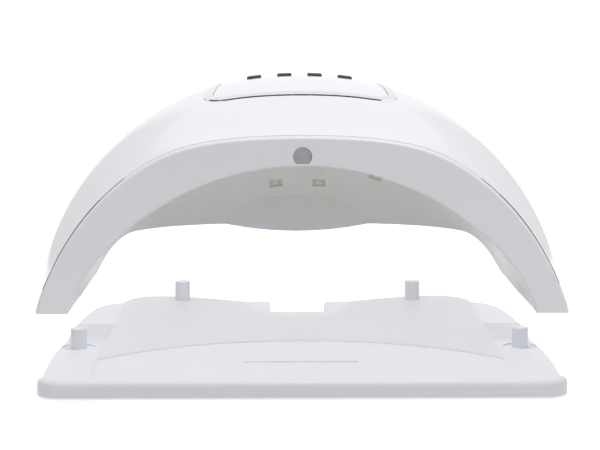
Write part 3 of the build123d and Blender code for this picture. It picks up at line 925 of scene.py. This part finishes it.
@dataclass
class DrumInductor(SmallPart):
    """A drum-core inductor on its square base, the winding showing between the flanges."""

    side: float = 12.0 * MM
    height: float = 5.0 * MM
    base: float = 1.0 * MM
    base_border: float = 0.4 * MM
    base_rounding: float = 0.3 * MM
    flange_radius: float = 5.6 * MM
    flange: float = 0.8 * MM
    flange_border: float = 1.2 * MM
    flange_dish: float = 0.15 * MM
    winding_radius: float = 4.7 * MM
    wire_bulge: float = 1.035
    wire_shares: Triple = (0.2, 0.6, 0.2)
    wire_angle: float = math.radians(30)
    turns: int = 6

    def model(self) -> Piece:
        """Models the inductor standing on the origin.

        Returns:
            The inductor.
        """
        foot = add_block("inductor", (self.side, self.side, self.base), (0, 0, self.base / 2))
        parts = [self.form(foot, "moulding_black", self.base_rounding, (step_in, self.base_border))]
        dish = (step_in, self.flange_border, -self.flange_dish)
        for level in (self.base + self.flange / 2, self.height - self.flange / 2):
            disc = add_drum("flange", self.flange_radius, self.flange, sides=48, centre=(0, 0, level))
            parts.append(self.form(disc, "moulding_black", self.flange_dish, dish))
        start = self.base + self.flange
        turn = (self.height - self.flange - start) / (self.turns + 1)
        winding = add_drum("winding", self.winding_radius, turn, sides=40, centre=(0, 0, start + turn / 2))
        with shaping(winding):
            for _ in range(self.turns):
                for share, scale in zip(self.wire_shares, (self.wire_bulge, 1.0, 1 / self.wire_bulge)):
                    grow(turn * share, scale)
        take(winding)
        bpy.ops.object.shade_smooth_by_angle(angle=self.wire_angle)
        paint(winding, self.looks["winding_copper"])
        return join([*parts, winding], "inductor")


@dataclass
class LeggedChip(SmallPart):
    """A flat chip with a row of bent legs along each long side."""

    length: float = 14.0 * MM
    width: float = 8.0 * MM
    height: float = 2.0 * MM
    lift: float = 0.15 * MM
    side_taper: float = 0.96
    rounding: float = 0.12 * MM
    mark_radius: float = 0.5 * MM
    mark_depth: float = 0.3 * MM
    mark_place: tuple[float, float] = (-0.4, -0.3)
    leg_reach: float = 1.1 * MM
    leg_height: float = 0.45
    leg_foot: float = 0.45 * MM
    leg_slope: float = 0.2 * MM
    leg_width: float = 0.45 * MM
    leg_sheet: float = 0.2 * MM
    leg_rounding: float = 0.05 * MM
    pitch: float = 1.6 * MM
    legs: int = 8

    def model(self) -> Piece:
        """Models the chip standing on the origin.

        Returns:
            The chip.
        """
        thick = self.height - self.lift
        depth = self.width - 2 * self.leg_reach
        body = add_block("chip", (self.length, depth, thick / 2), (0, 0, self.lift + thick / 4))
        self.form(body, "moulding_black", self.rounding, (grow, thick / 2, self.side_taper))
        spot = (self.mark_place[0] * self.length, self.mark_place[1] * depth, self.height)
        cut_away(body, add_drum("mark", self.mark_radius, self.mark_depth, sides=20, centre=spot))
        size = (self.leg_width, self.leg_foot, self.leg_sheet)
        leg = add_block("leg", size, (0, self.width / 2 - self.leg_foot / 2, self.leg_sheet / 2))
        slope = (pull, (0, -self.leg_slope, self.leg_height * self.height))
        shoulder = (pull, (0, -self.leg_reach + self.leg_foot, 0))
        self.form(leg, "lead_tin", self.leg_rounding, slope, shoulder, way=(0, -1, 0))
        row = [at((index - (self.legs - 1) / 2) * self.pitch) for index in range(self.legs)]
        return join([body, copies_at(leg, both_sides(row), "legs")], "chip")


@dataclass
class PushSwitch(SmallPart):
    """A small push switch: body, riveted steel cover, plunger and four bent tabs."""

    side: float = 6.0 * MM
    body_height: float = 3.5 * MM
    body_rounding: float = 0.25 * MM
    plunger_radius: float = 1.6 * MM
    plunger_top: float = 6.5 * MM
    crown: float = 0.3 * MM
    crown_steps: tuple[tuple[float, float], ...] = ((0.7, 0.92), (0.3, 0.8))
    rounding: float = 0.1 * MM
    cover: float = 0.3 * MM
    cover_margin: float = 0.3 * MM
    cover_border: float = 0.35 * MM
    cover_dish: float = 0.08 * MM
    rivet_radius: float = 0.45 * MM
    rivet_height: float = 0.3 * MM
    rivet_place: float = 2.1 * MM
    tab_width: float = 0.8 * MM
    tab_reach: float = 0.7 * MM
    tab_sheet: float = 0.2 * MM
    tab_height: float = 0.4
    tab_rounding: float = 0.04 * MM

    def tabs(self, rise: float) -> Piece:
        """Models the four tabs, bent up against the body.

        Args:
            rise: How far they stand up along the body, in metres.

        Returns:
            The joined tabs at their places.
        """
        size = (self.tab_reach, self.tab_width, self.tab_sheet)
        tab = add_block("tab", size, ((self.side + self.tab_reach) / 2, 0, self.tab_sheet / 2))
        bend = (pull, (-self.tab_sheet / 2, 0, self.tab_sheet))
        self.form(tab, "lead_tin", self.tab_rounding, bend, (pull, (0, 0, rise)), way=(-1, 0, 0))
        return copies_at(tab, both_sides([at(y=way * self.rivet_place) for way in (-1, 1)]), "tabs")

    def model(self) -> Piece:
        """Models the switch standing on the origin.

        Returns:
            The switch.
        """
        thick = self.body_height - self.cover
        body = add_block("switch", (self.side, self.side, thick), (0, 0, thick / 2))
        self.form(body, "moulding_black", self.body_rounding)
        stem = self.plunger_top - self.body_height - self.crown
        level = self.body_height + stem / 2
        plunger = add_drum("plunger", self.plunger_radius, stem, sides=32, centre=(0, 0, level))
        crown = [(grow, self.crown * share, scale) for share, scale in self.crown_steps]
        self.form(plunger, "moulding_black", self.rounding, *crown)
        sheet = self.side - self.cover_margin
        cover = add_block("cover", (sheet, sheet, self.cover), (0, 0, thick + self.cover / 2))
        self.form(cover, "lead_tin", self.cover_dish, (step_in, self.cover_border, -self.cover_dish))
        places = [at(x * self.rivet_place, y * self.rivet_place, self.body_height)
                  for x in (-1, 1) for y in (-1, 1)]
        rivet = add_drum("rivet", self.rivet_radius, self.rivet_height, sides=16)
        rivets = copies_at(self.form(rivet, "lead_tin", self.rounding), places, "rivets")
        return join([body, plunger, cover, rivets, self.tabs(self.tab_height * thick)], "switch")


@dataclass
class DigitPair(SmallPart):
    """A display of two digits, each of seven pale bars let into a black face."""

    width: float = 30.0 * MM
    depth: float = 14.0 * MM
    height: float = 6.4 * MM
    border: float = 0.8 * MM
    face_depth: float = 0.3 * MM
    rounding: float = 0.2 * MM
    digit_pitch: float = 13.0 * MM
    bar_length: float = 3.6 * MM
    bar_width: float = 0.9 * MM
    bar_thickness: float = 0.3 * MM
    bar_sink: float = 0.2 * MM
    bar_point: float = 0.15
    bar_rounding: float = 0.05 * MM
    lean: float = 0.14

    def model(self) -> Piece:
        """Models the display standing on the origin.

        Returns:
            The display.
        """
        body = add_block("digits", (self.width, self.depth, self.height), (0, 0, self.height / 2))
        self.form(body, "moulding_black", self.rounding, (step_in, self.border), (grow, -self.face_depth))
        bar = add_block("bar", (self.bar_length, self.bar_width, self.bar_thickness))
        with shaping(bar, (-1, 0, 0)):
            pull((-self.bar_width / 2, 0, 0), (1, self.bar_point, 1))
        point = (pull, (self.bar_width / 2, 0, 0), (1, self.bar_point, 1))
        self.form(bar, "segment_pale", self.bar_rounding, point, way=(1, 0, 0))
        step = self.bar_length + self.bar_width
        lean = Matrix(((1, self.lean, 0, 0), (0, 1, 0, 0), (0, 0, 1, 0), (0, 0, 0, 1)))
        bars = [at(y=row * step) for row in (-1, 0, 1)]
        bars += [at(x * step, y * step) @ QUARTER_TURN for x in (-0.5, 0.5) for y in (-0.5, 0.5)]
        places = []
        for side in (-0.5, 0.5):
            digit = at(side * self.digit_pitch, 0, self.height - self.bar_sink) @ lean
            places += [digit @ place for place in bars]
        return join([body, copies_at(bar, places, "bars")], "digits")


# The sub-assemblies


@dataclass
class SubAssembly(Maker):
    """A part of the object that puts modelled pieces in place of plain nodes, and dresses the others."""

    nodes: dict[str, Piece]
    body: ClassVar[str] = "lamp"
    finishes: ClassVar[dict[str, str]] = {}

    def stand_in(self, piece: Piece, node_name: str, slot: str) -> None:
        """Lets a piece ride on the body and stand for a CAD node, which is hidden.

        Args:
            piece: The finished piece.
            node_name: The CAD node that it replaces.
            slot: Not used.
        """
        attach(piece, self.body)
        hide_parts(node_name)
        log.info("%s stands for %s", piece.name, node_name)

    def fit_screws(self, node_name: str, name: str, head_height: float, head_up: bool = False) -> None:
        """Puts real screws with heads of that height in place of a node's plain ones."""
        screw = CrossScrew(self.looks, head_up=head_up, head_height=head_height)
        self.stand_in(screw.stand_for(self.nodes[node_name], name), node_name, "steel")

    def build(self) -> None:
        """Models the pieces that take the place of plain nodes. Each sub-assembly has its own."""
        raise NotImplementedError

    def dress(self) -> None:
        """Gives the nodes that keep their shape their finishes."""
        for name, finish in self.finishes.items():
            paint(self.nodes[name], self.looks[finish])
            log.info("%s is finished in %s", name, finish)


@dataclass
class LampShell(SubAssembly):
    """The dome, the band with the liner, and what is let into their underside."""

    finishes: ClassVar[dict[str, str]] = {
        "outer_shell": "shell_gloss", "inner_housing": "band_gloss", "lamp_magnets": "magnet_nickel",
    }
    screw_head: float = 1.3 * MM
    band_depth: float = 1.75 * MM
    cavity_depth: float = 168.5 * MM
    cavity_reach: float = 98.0 * MM
    liner_lean: float = 0.1
    rear_lean: float = 0.3
    seam_depth: float = 2.6 * MM
    seam_slack: float = 0.1 * MM
    seam_foot: float = 10.0 * MM
    # Painted shadow in the flanks' open seam: the grey tone up to the higher top, the near-black one below
    # the lower top, fading out towards the crown.
    seam_tops: tuple[tuple[str, float], ...] = (("seam_pale", 56.0 * MM), ("seam_grey", 49.0 * MM))
    groove_width: float = 0.9 * MM
    groove_depth: float = 0.3 * MM
    grooves: int = 7
    pad_end: float = 0.499
    pad_steps: int = 12
    pad_rounding: float = 0.12 * MM

    def lines_the_cavity(self, centre: Vector, normal: Vector) -> bool:
        """Whether a face of the housing looks into the hand's space, behind the band, where shade is painted.

        Args:
            centre: The face's middle.
            normal: The face's normal.

        Returns:
            True for the faces of the liner.
        """
        depth = centre.y - LAMP_FRONT
        if not self.band_depth < depth < self.cavity_depth or abs(centre.x) > self.cavity_reach:
            return False
        inwards = Vector((-centre.x, 0, LAMP_FEET - centre.z))
        return normal.dot(inwards) > self.liner_lean * inwards.length or normal.y < -self.rear_lean

    def in_side_seam(self, centre: Vector, normal: Vector, top: float) -> bool:
        """Whether a face of the dome's front edge lies in the open seam on the flanks, below that top, where
        shadow is painted.
        """
        at_edge = abs(centre.y - LAMP_FRONT - self.seam_depth) < self.seam_slack
        return at_edge and normal.y < -FACING and self.seam_foot < centre.z - LAMP_FEET < top

    def dress(self) -> None:
        """Gives the mouldings their finishes, then paints shadow into the dome's open seam on the flanks and
        shade onto the housing's liner.
        """
        super().dress()
        # Paints shadow into the seam faces on the flanks, the grey tone first and the near-black tone over it
        # lower down.
        for finish, top in self.seam_tops:
            paint(self.nodes["outer_shell"], self.looks[finish], lambda centre, normal, top=top: (
                self.in_side_seam(centre, normal, top)
            ))
        # Paints shade onto the housing's faces inside the cavity: the liner's darker tone stands for the
        # shade there.
        paint(self.nodes["inner_housing"], self.looks["liner_satin"], self.lines_the_cavity)

    def tread_pad(self, low: Vector, high: Vector) -> Piece:
        """Models one long pad with rounded ends and grooves across its underside.

        Args:
            low: Lowest corner of the pad's box.
            high: Highest corner of the pad's box.

        Returns:
            The pad at its place.
        """
        size, centre = high - low, (low + high) / 2
        pad = add_block("pad", tuple(size), tuple(centre))
        with editing(pad):
            bpy.ops.mesh.select_mode(type="EDGE")
            mesh = bmesh.from_edit_mesh(pad.data)
            for edge in mesh.edges:
                ends = edge.verts
                edge.select_set(abs(ends[0].co.z - ends[1].co.z) > size.z / 2)
            bmesh.update_edit_mesh(pad.data)
            bpy.ops.mesh.bevel(offset=self.pad_end * size.x, segments=self.pad_steps)
        for index in range(self.grooves):
            along = low.y + size.y * (index + 1) / (self.grooves + 1)
            groove = (2 * size.x, self.groove_width, 2 * self.groove_depth)
            cut_away(pad, add_block("groove", groove, (centre.x, along, low.z)))
        soften(pad, self.pad_rounding)
        return pad

    def build(self) -> None:
        """Puts real screws in the rim and grooved pads under the legs."""
        self.fit_screws("housing_screws", "rim_screws", self.screw_head)
        solids = islands(self.nodes["leg_pads"])
        pads = join([self.tread_pad(*box_of(corners)) for corners in solids], "leg_treads")
        paint(pads, self.looks["pad_grey"])
        self.stand_in(pads, "leg_pads", "pad_rubber")


@dataclass
class ControlPanel(SubAssembly):
    """The plate on the crown with its bright ring, four keys and display."""

    finishes: ClassVar[dict[str, str]] = {
        "panel_plate": "panel_gloss", "display_window": "window_smoke", "button_10s": "key_black",
        "button_30s": "key_black", "button_60s": "key_black", "button_99s": "key_black",
    }
    ring_rise: float = 0.35 * MM

    def build(self) -> None:
        """Stands a copy of the plain ring a little prouder, so that its bright edge shows all round."""
        ring = copy_of(self.nodes["trim_ring"], at(z=self.ring_rise))
        ring.name = "bright_ring"
        paint(ring, self.looks["ring_chrome"])
        self.stand_in(ring, "trim_ring", "trim")


@dataclass
class HandCavity(SubAssembly):
    """The light sources round the hand, and the sensor in the band."""

    finishes: ClassVar[dict[str, str]] = {
        "led_strip_front": "strip_white", "led_strip_middle": "strip_white",
        "led_strip_back": "strip_white", "led_strip_rear": "strip_white",
    }
    rows: tuple[str, ...] = ("front", "middle", "back", "rear")
    lens_rings: tuple[float, ...] = (0.12, 0.22, 0.22, 0.2)
    lens_dish: float = 0.3 * MM
    lens_rounding: float = 0.1 * MM
    board_rounding: float = 0.15 * MM
    holder_border: float = 0.3 * MM
    holder_dish: float = 0.1 * MM
    holder_rounding: float = 0.08 * MM
    eye_radius: float = 0.85 * MM
    eye_spacing: float = 1.9 * MM
    eye_rounding: float = 0.05 * MM
    eye_height: float = 0.5
    eye_level: float = 0.05
    eye_steps: tuple[tuple[float, float], ...] = ((0.12, 0.85), (0.08, 0.7))
    holder_height: float = 0.6
    holder_level: float = -0.2

    def sensor_lens(self) -> Piece:
        """Models the sensor's filter: a round lens, cut flat below and dished in front.

        Returns:
            The lens at its place.
        """
        low, high = box_of(islands(self.nodes["sensor_window"])[0])
        radius, thick = (high.x - low.x) / 2, high.y - low.y
        lens = add_drum("lens", radius, thick, sides=56)
        with shaping(lens):
            for share in self.lens_rings:
                step_in(share * radius, -self.lens_dish / len(self.lens_rings))
        flat = low.z - high.z + radius
        cut_away(lens, add_block("flat", (2 * radius, radius, 2 * thick), (0, flat - radius / 2, 0)))
        soften(lens, self.lens_rounding)
        paint(lens, self.looks["filter_grey"])
        place = at(0, (low.y + high.y) / 2, high.z - radius)
        return copies_at(lens, [place @ FACE_FRONT], "sensor_lens")

    def eyes(self, thick: float) -> Piece:
        """Models the two eyes behind the filter, looking up.

        Args:
            thick: Thickness of the plain eye, in metres.

        Returns:
            The joined eyes at the origin.
        """
        height, level = self.eye_height * thick, self.eye_level * thick
        eye = add_drum("eye", self.eye_radius, height, sides=24, centre=(0, 0, level))
        crown = [(grow, share * thick, scale) for share, scale in self.eye_steps]
        self.form(eye, "window_smoke", self.eye_rounding, *crown)
        return copies_at(eye, [at(side * self.eye_spacing / 2) for side in (-1, 1)], "eyes")

    def sensor_circuit(self) -> Piece:
        """Models the small board behind the filter with its holder and two eyes.

        Returns:
            The joined piece at its place.
        """
        boxes = [box_of(corners) for corners in islands(self.nodes["sensor_board"])]
        eye, board = sorted(boxes, key=lambda box: box[1].x - box[0].x)
        plate = add_block("circuit", tuple(board[1] - board[0]), tuple((board[0] + board[1]) / 2))
        self.form(plate, "board_green", self.board_rounding)
        thick = eye[1].y - eye[0].y
        height, level = self.holder_height * thick, self.holder_level * thick
        holder = add_drum("holder", (eye[1].x - eye[0].x) / 2, height, sides=40, centre=(0, 0, level))
        dish = (step_in, self.holder_border, -self.holder_dish)
        self.form(holder, "moulding_black", self.holder_rounding, dish)
        front = join([holder, self.eyes(thick)], "front")
        turn = Matrix.Translation((eye[0] + eye[1]) / 2) @ FACE_FRONT
        return join([plate, copies_at(front, [turn], "front")], "sensor_circuit")

    def build(self) -> None:
        """Models the light sources in place of the plain blocks, and the sensor."""
        for row in self.rows:
            places = []
            for corners in islands(self.nodes["led_emitters_" + row]):
                depth = LAMP_FRONT if row == "rear" else middle(corners).y
                places.append(LightEmitter.frame(corners, Vector((0, depth, LAMP_FEET))))
            lights = copies_at(LightEmitter(self.looks).model(), places, "light_row_" + row)
            self.stand_in(lights, "led_emitters_" + row, "emitter")
        self.stand_in(self.sensor_lens(), "sensor_window", "smoked")
        self.stand_in(self.sensor_circuit(), "sensor_board", "board")


@dataclass
class Electronics(SubAssembly):
    """The two boards with their parts, and the power inlet."""

    finishes: ClassVar[dict[str, str]] = {
        "control_board": "board_green", "driver_board": "board_green", "inlet_socket": "moulding_black",
        "inlet_pin": "pin_brass",
    }
    flat_part: float = 3.0 * MM
    square_part: float = 6.0 * MM
    screw_head: float = 1.4 * MM
    leaf: Triple = (0.25 * MM, 6.0 * MM, 1.6 * MM)
    leaf_place: float = 2.45 * MM
    leaf_setback: float = 2.5 * MM
    leaf_cuts: int = 2
    leaf_ridge: float = 0.12 * MM
    leaf_rounding: float = 0.05 * MM

    def power_parts(self) -> Piece:
        """Models what stands on the power board, each part told by its height.

        Returns:
            The joined parts at their places.
        """
        places: dict[type[SmallPart], list[Matrix]] = {LeggedChip: [], DrumInductor: [], Capacitor: []}
        for corners in islands(self.nodes["driver_parts"]):
            low, high = box_of(corners)
            tall = high.z - low.z
            tall_kind = DrumInductor if tall < self.square_part else Capacitor
            kind = LeggedChip if tall < self.flat_part else tall_kind
            places[kind].append(floor_place(corners))
        made = [copies_at(kind(self.looks).model(), spots, kind.__name__) for kind, spots in places.items()]
        return join(made, "power_parts")

    def inlet_leaf(self) -> Piece:
        """Models the spring leaf in the inlet's bore, with its pressed ridge.

        Returns:
            The leaf at its place.
        """
        low, high = box_of(islands(self.nodes["inlet_socket"])[0])
        centre = (low + high) / 2
        rear = high.y - self.leaf[1] / 2 - self.leaf_setback
        leaf = add_block("inlet_leaf", self.leaf, (centre.x + self.leaf_place, rear, centre.z))
        with editing(leaf):
            bpy.ops.mesh.select_all(action="SELECT")
            bpy.ops.mesh.subdivide(number_cuts=self.leaf_cuts)
            select_faces(leaf, lambda spot, normal: (
                normal.x < -FACING and abs(spot.y - rear) < self.leaf[1] / 4
            ))
            bpy.ops.transform.translate(value=(-self.leaf_ridge, 0, 0))
        soften(leaf, self.leaf_rounding)
        paint(leaf, self.looks["lead_tin"])
        return leaf

    def build(self) -> None:
        """Models the boards' parts, puts real screws in the boards and a leaf in the inlet."""
        self.stand_in(self.power_parts(), "driver_parts", "black_plastic")
        for node_name, name, part in (("tact_switches", "push_switches", PushSwitch(self.looks)),
                                      ("display_module", "digit_display", DigitPair(self.looks))):
            places = [floor_place(corners) for corners in islands(self.nodes[node_name])]
            self.stand_in(copies_at(part.model(), places, name), node_name, "black_plastic")
        leaf = self.inlet_leaf()
        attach(leaf, "lamp")
        log.info("%s lies in the inlet", leaf.name)
        self.fit_screws("board_screws", "control_screws", self.screw_head)
        self.fit_screws("driver_screws", "power_screws", self.screw_head, head_up=True)


@dataclass
class BaseTray(SubAssembly):
    """The tray that the lamp stands on."""

    body: ClassVar[str] = "tray"
    finishes: ClassVar[dict[str, str]] = {
        "base_tray": "tray_satin", "tray_cover": "cover_satin", "tray_magnets": "magnet_nickel",
    }
    screw_head: float = 1.1 * MM
    tread_step: float = 0.9 * MM
    tread_slope: float = 0.1 * MM
    tread_depth: float = 0.25 * MM
    foot_rounding: float = 0.12 * MM

    def foot(self, low: Vector, high: Vector) -> Piece:
        """Models one round foot with rings pressed into its underside, lying face up.

        Args:
            low: Lowest corner of the foot's box.
            high: Highest corner of the foot's box.

        Returns:
            The foot, its underside turned up, at the origin.
        """
        size = high - low
        foot = add_drum("foot", size.x / 2, size.z, sides=48, centre=(0, 0, -size.z / 2))
        with shaping(foot):
            step_in(self.tread_step)
            for way in (-1, 1, -1):
                step_in(self.tread_slope, way * self.tread_depth)
                step_in(self.tread_step)
        soften(foot, self.foot_rounding)
        return foot

    def build(self) -> None:
        """Puts real screws in the cover under the tray, and ringed feet under it."""
        self.fit_screws("tray_screws", "cover_screws", self.screw_head)
        solids = islands(self.nodes["tray_feet"])
        places = [floor_place(corners) @ FACE_DOWN for corners in solids]
        feet = copies_at(self.foot(*box_of(solids[0])), places, "tray_treads")
        paint(feet, self.looks["pad_grey"])
        self.stand_in(feet, "tray_feet", "pad_rubber")


# The studio


def put(name: str, data: bpy.types.ID, place: Triple, aim: Triple) -> Piece:
    """Puts a camera or a light at its place and turns it to face a point.

    Args:
        name: The object's name.
        data: The camera or the light.
        place: Where it is, in metres.
        aim: The point that it faces, in metres.

    Returns:
        The new object.
    """
    made = bpy.data.objects.new(name, data)
    bpy.context.scene.collection.objects.link(made)
    made.location = place
    made.rotation_euler = (Vector(aim) - Vector(place)).to_track_quat("-Z", "Y").to_euler()
    return made


@dataclass(frozen=True)
class SoftBox:
    """A soft box: where it hangs, the point that it faces, its width and height, and its power in watts."""

    name: str
    place: Triple
    aim: Triple
    size: tuple[float, float]
    power: float

    def hang(self) -> Piece:
        """Hangs the soft box.

        Returns:
            The light's object.
        """
        lamp = bpy.data.lights.new(self.name, "AREA")
        lamp.shape = "RECTANGLE"
        lamp.size, lamp.size_y = self.size
        lamp.energy = self.power
        return put(self.name, lamp, self.place, self.aim)


@dataclass(frozen=True)
class Card:
    """A card that only reflections see: its middle, its size along each axis, and its tone from 0 to 1."""

    name: str
    place: Triple
    size: Triple
    tone: float

    def stand(self) -> None:
        """Stands the card beside the object."""
        card = add_block(self.name, self.size, self.place)
        felt = bpy.data.materials.new(self.name + "_felt")
        felt.use_nodes = True
        wire(felt.node_tree.nodes["Principled BSDF"], {
            "Base Color": (0, 0, 0, 1), "Specular IOR Level": 0.0,
            "Emission Color": (1, 1, 1, 1), "Emission Strength": self.tone,
        })
        paint(card, felt)
        card.visible_camera = False
        card.visible_diffuse = False
        card.visible_shadow = False
        card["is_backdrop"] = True


@dataclass
class Studio:
    """White floor, soft light from above, and the camera at the photograph's place."""

    eye: Triple = (-0.0144, -1.045, 0.2128)
    aim: Triple = (-0.0011, -0.095, 0.0734)
    lens: float = 136.6
    sensor_width: float = 36.0
    far_limit: float = 60.0
    air_colour: Triple = (0.97, 0.98, 1.0)
    ambient: float = 0.55
    floor_colour: Triple = (0.62, 0.62, 0.62)
    floor_lift: float = 0.74
    floor_radius: float = 9.0
    floor_sides: int = 96
    front_box: SoftBox = SoftBox("front_box", (0.3, -1.3, 0.7), (0, 0, 0.06), (1.0, 0.6), 1.9)
    top_box: SoftBox = SoftBox("top_box", (0.2, -0.3, 1.5), (0, 0, 0.05), (1.3, 1.2), 10.8)
    rear_box: SoftBox = SoftBox("rear_box", (-0.3, 1.3, 0.9), (0, 0, 0.08), (0.9, 0.6), 2.2)
    tray_box: SoftBox = SoftBox("tray_box", (0.0, 0.0, 0.3), (0, 0, 0), (0.24, 0.2), 0.56)
    cards: tuple[Card, ...] = (
        Card("front_card", (0, -0.75, 0.06), (1.6, 2 * MM, 0.14), 0.01),
        Card("side_card", (-0.8, -0.25, 0.06), (2 * MM, 0.9, 0.14), 0.01),
        Card("rear_card", (-0.41, 0.4, 0.17), (0.5, 2 * MM, 0.34), 0.78),
        Card("rear_card", (0.41, 0.4, 0.17), (0.5, 2 * MM, 0.34), 0.78),
    )

    def place_camera(self) -> None:
        """Creates the camera and makes it the scene's own."""
        camera = put("camera", bpy.data.cameras.new("camera"), self.eye, self.aim)
        camera.data.sensor_width = self.sensor_width
        camera.data.lens = self.lens
        camera.data.clip_end = self.far_limit
        bpy.context.scene.camera = camera

    @staticmethod
    def seen_directly(tree: Tree) -> Socket:
        """Adds the test for camera, glossy and transmission rays.

        Args:
            tree: The node tree it goes into.

        Returns:
            A socket that is 1 for those rays.
        """
        path = add_node(tree, "LightPath", {}).outputs
        total = path["Is Camera Ray"]
        for name in ("Is Glossy Ray", "Is Transmission Ray"):
            total = add_node(tree, "Math", {0: total, 1: path[name]}, operation="MAXIMUM").outputs[0]
        return total

    def light_world(self) -> None:
        """Sets a white world that lights the object at a plain level."""
        world = bpy.data.worlds.new("studio_air")
        bpy.context.scene.world = world
        world.use_nodes = True
        tree = world.node_tree
        white = tree.nodes["Background"]
        wire(white, {"Color": (1, 1, 1, 1), "Strength": 1.0})
        air = add_node(tree, "Background", {"Color": (*self.air_colour, 1), "Strength": self.ambient})
        shares = {0: self.seen_directly(tree), 1: air.outputs[0], 2: white.outputs[0]}
        mix = add_node(tree, "MixShader", shares)
        wire(tree.nodes["World Output"], {"Surface": mix.outputs[0]})

    def lay_floor(self) -> Piece:
        """Lays a white floor that keeps the object's shadow.

        Returns:
            The floor.
        """
        clear_selection()
        size = {"vertices": self.floor_sides, "radius": self.floor_radius}
        bpy.ops.mesh.primitive_circle_add(fill_type="NGON", **size)
        floor = bpy.context.object
        floor.name = "studio_floor"
        paper = bpy.data.materials.new("studio_paper")
        paper.use_nodes = True
        tree = paper.node_tree
        tree.nodes.remove(tree.nodes["Principled BSDF"])
        matt = add_node(tree, "BsdfDiffuse", {"Color": (*self.floor_colour, 1)}).outputs[0]
        glow = add_node(tree, "Emission", {"Strength": self.floor_lift}).outputs[0]
        lifted = add_node(tree, "AddShader", {0: matt, 1: glow}).outputs[0]
        mix = add_node(tree, "MixShader", {0: self.seen_directly(tree), 1: matt, 2: lifted})
        wire(tree.nodes["Material Output"], {"Surface": mix.outputs[0]})
        paint(floor, paper)
        floor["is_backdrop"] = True
        return floor

    def build(self) -> Piece:
        """Sets up the camera, the air, the floor, the front light and the cards.

        Returns:
            The floor, which the lamp's lights also light.
        """
        bpy.context.scene.view_settings.view_transform = "Standard"
        self.place_camera()
        self.light_world()
        floor = self.lay_floor()
        self.front_box.hang()
        for card in self.cards:
            card.stand()
        return floor

    def light_halves(self, pieces: list[Piece], floor: Piece) -> None:
        """Lights the lamp and the tray each by its own soft box, so that the lamp doesn't shade the tray.

        Args:
            pieces: All pieces of the object.
            floor: The floor.
        """
        groups = {}
        for half in ("lamp", "tray"):
            groups[half] = bpy.data.collections.new(half + "_lighting")
            bpy.context.scene.collection.children.link(groups[half])
        for piece in pieces:
            groups["tray" if "tray" in body_of(piece) else "lamp"].objects.link(piece)
        groups["lamp"].objects.link(floor)
        self.top_box.hang().light_linking.receiver_collection = groups["lamp"]
        rear = self.rear_box.hang()
        rear.light_linking.receiver_collection = groups["lamp"]
        rear.visible_glossy = False
        tray_light = self.tray_box.hang().light_linking
        tray_light.receiver_collection = groups["tray"]
        tray_light.blocker_collection = groups["tray"]


def main() -> None:
    """Builds and dresses every sub-assembly in order, and reports each."""
    logging.basicConfig(level=logging.INFO, format="%(name)s: %(message)s")
    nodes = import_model()["nodes"]
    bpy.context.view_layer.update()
    studio = Studio()
    floor = studio.build()
    details = {surface: Detail(surface) for surface in Surface}
    looks = {finish.name: finish.material(details) for finish in FINISHES}
    for kind in (LampShell, ControlPanel, HandCavity, Electronics, BaseTray):
        part = kind(looks, nodes)
        part.build()
        part.dress()
        log.info("dressed %s", kind.__name__)
    studio.light_halves(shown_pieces(), floor)


if __name__ == "__main__":
    main()
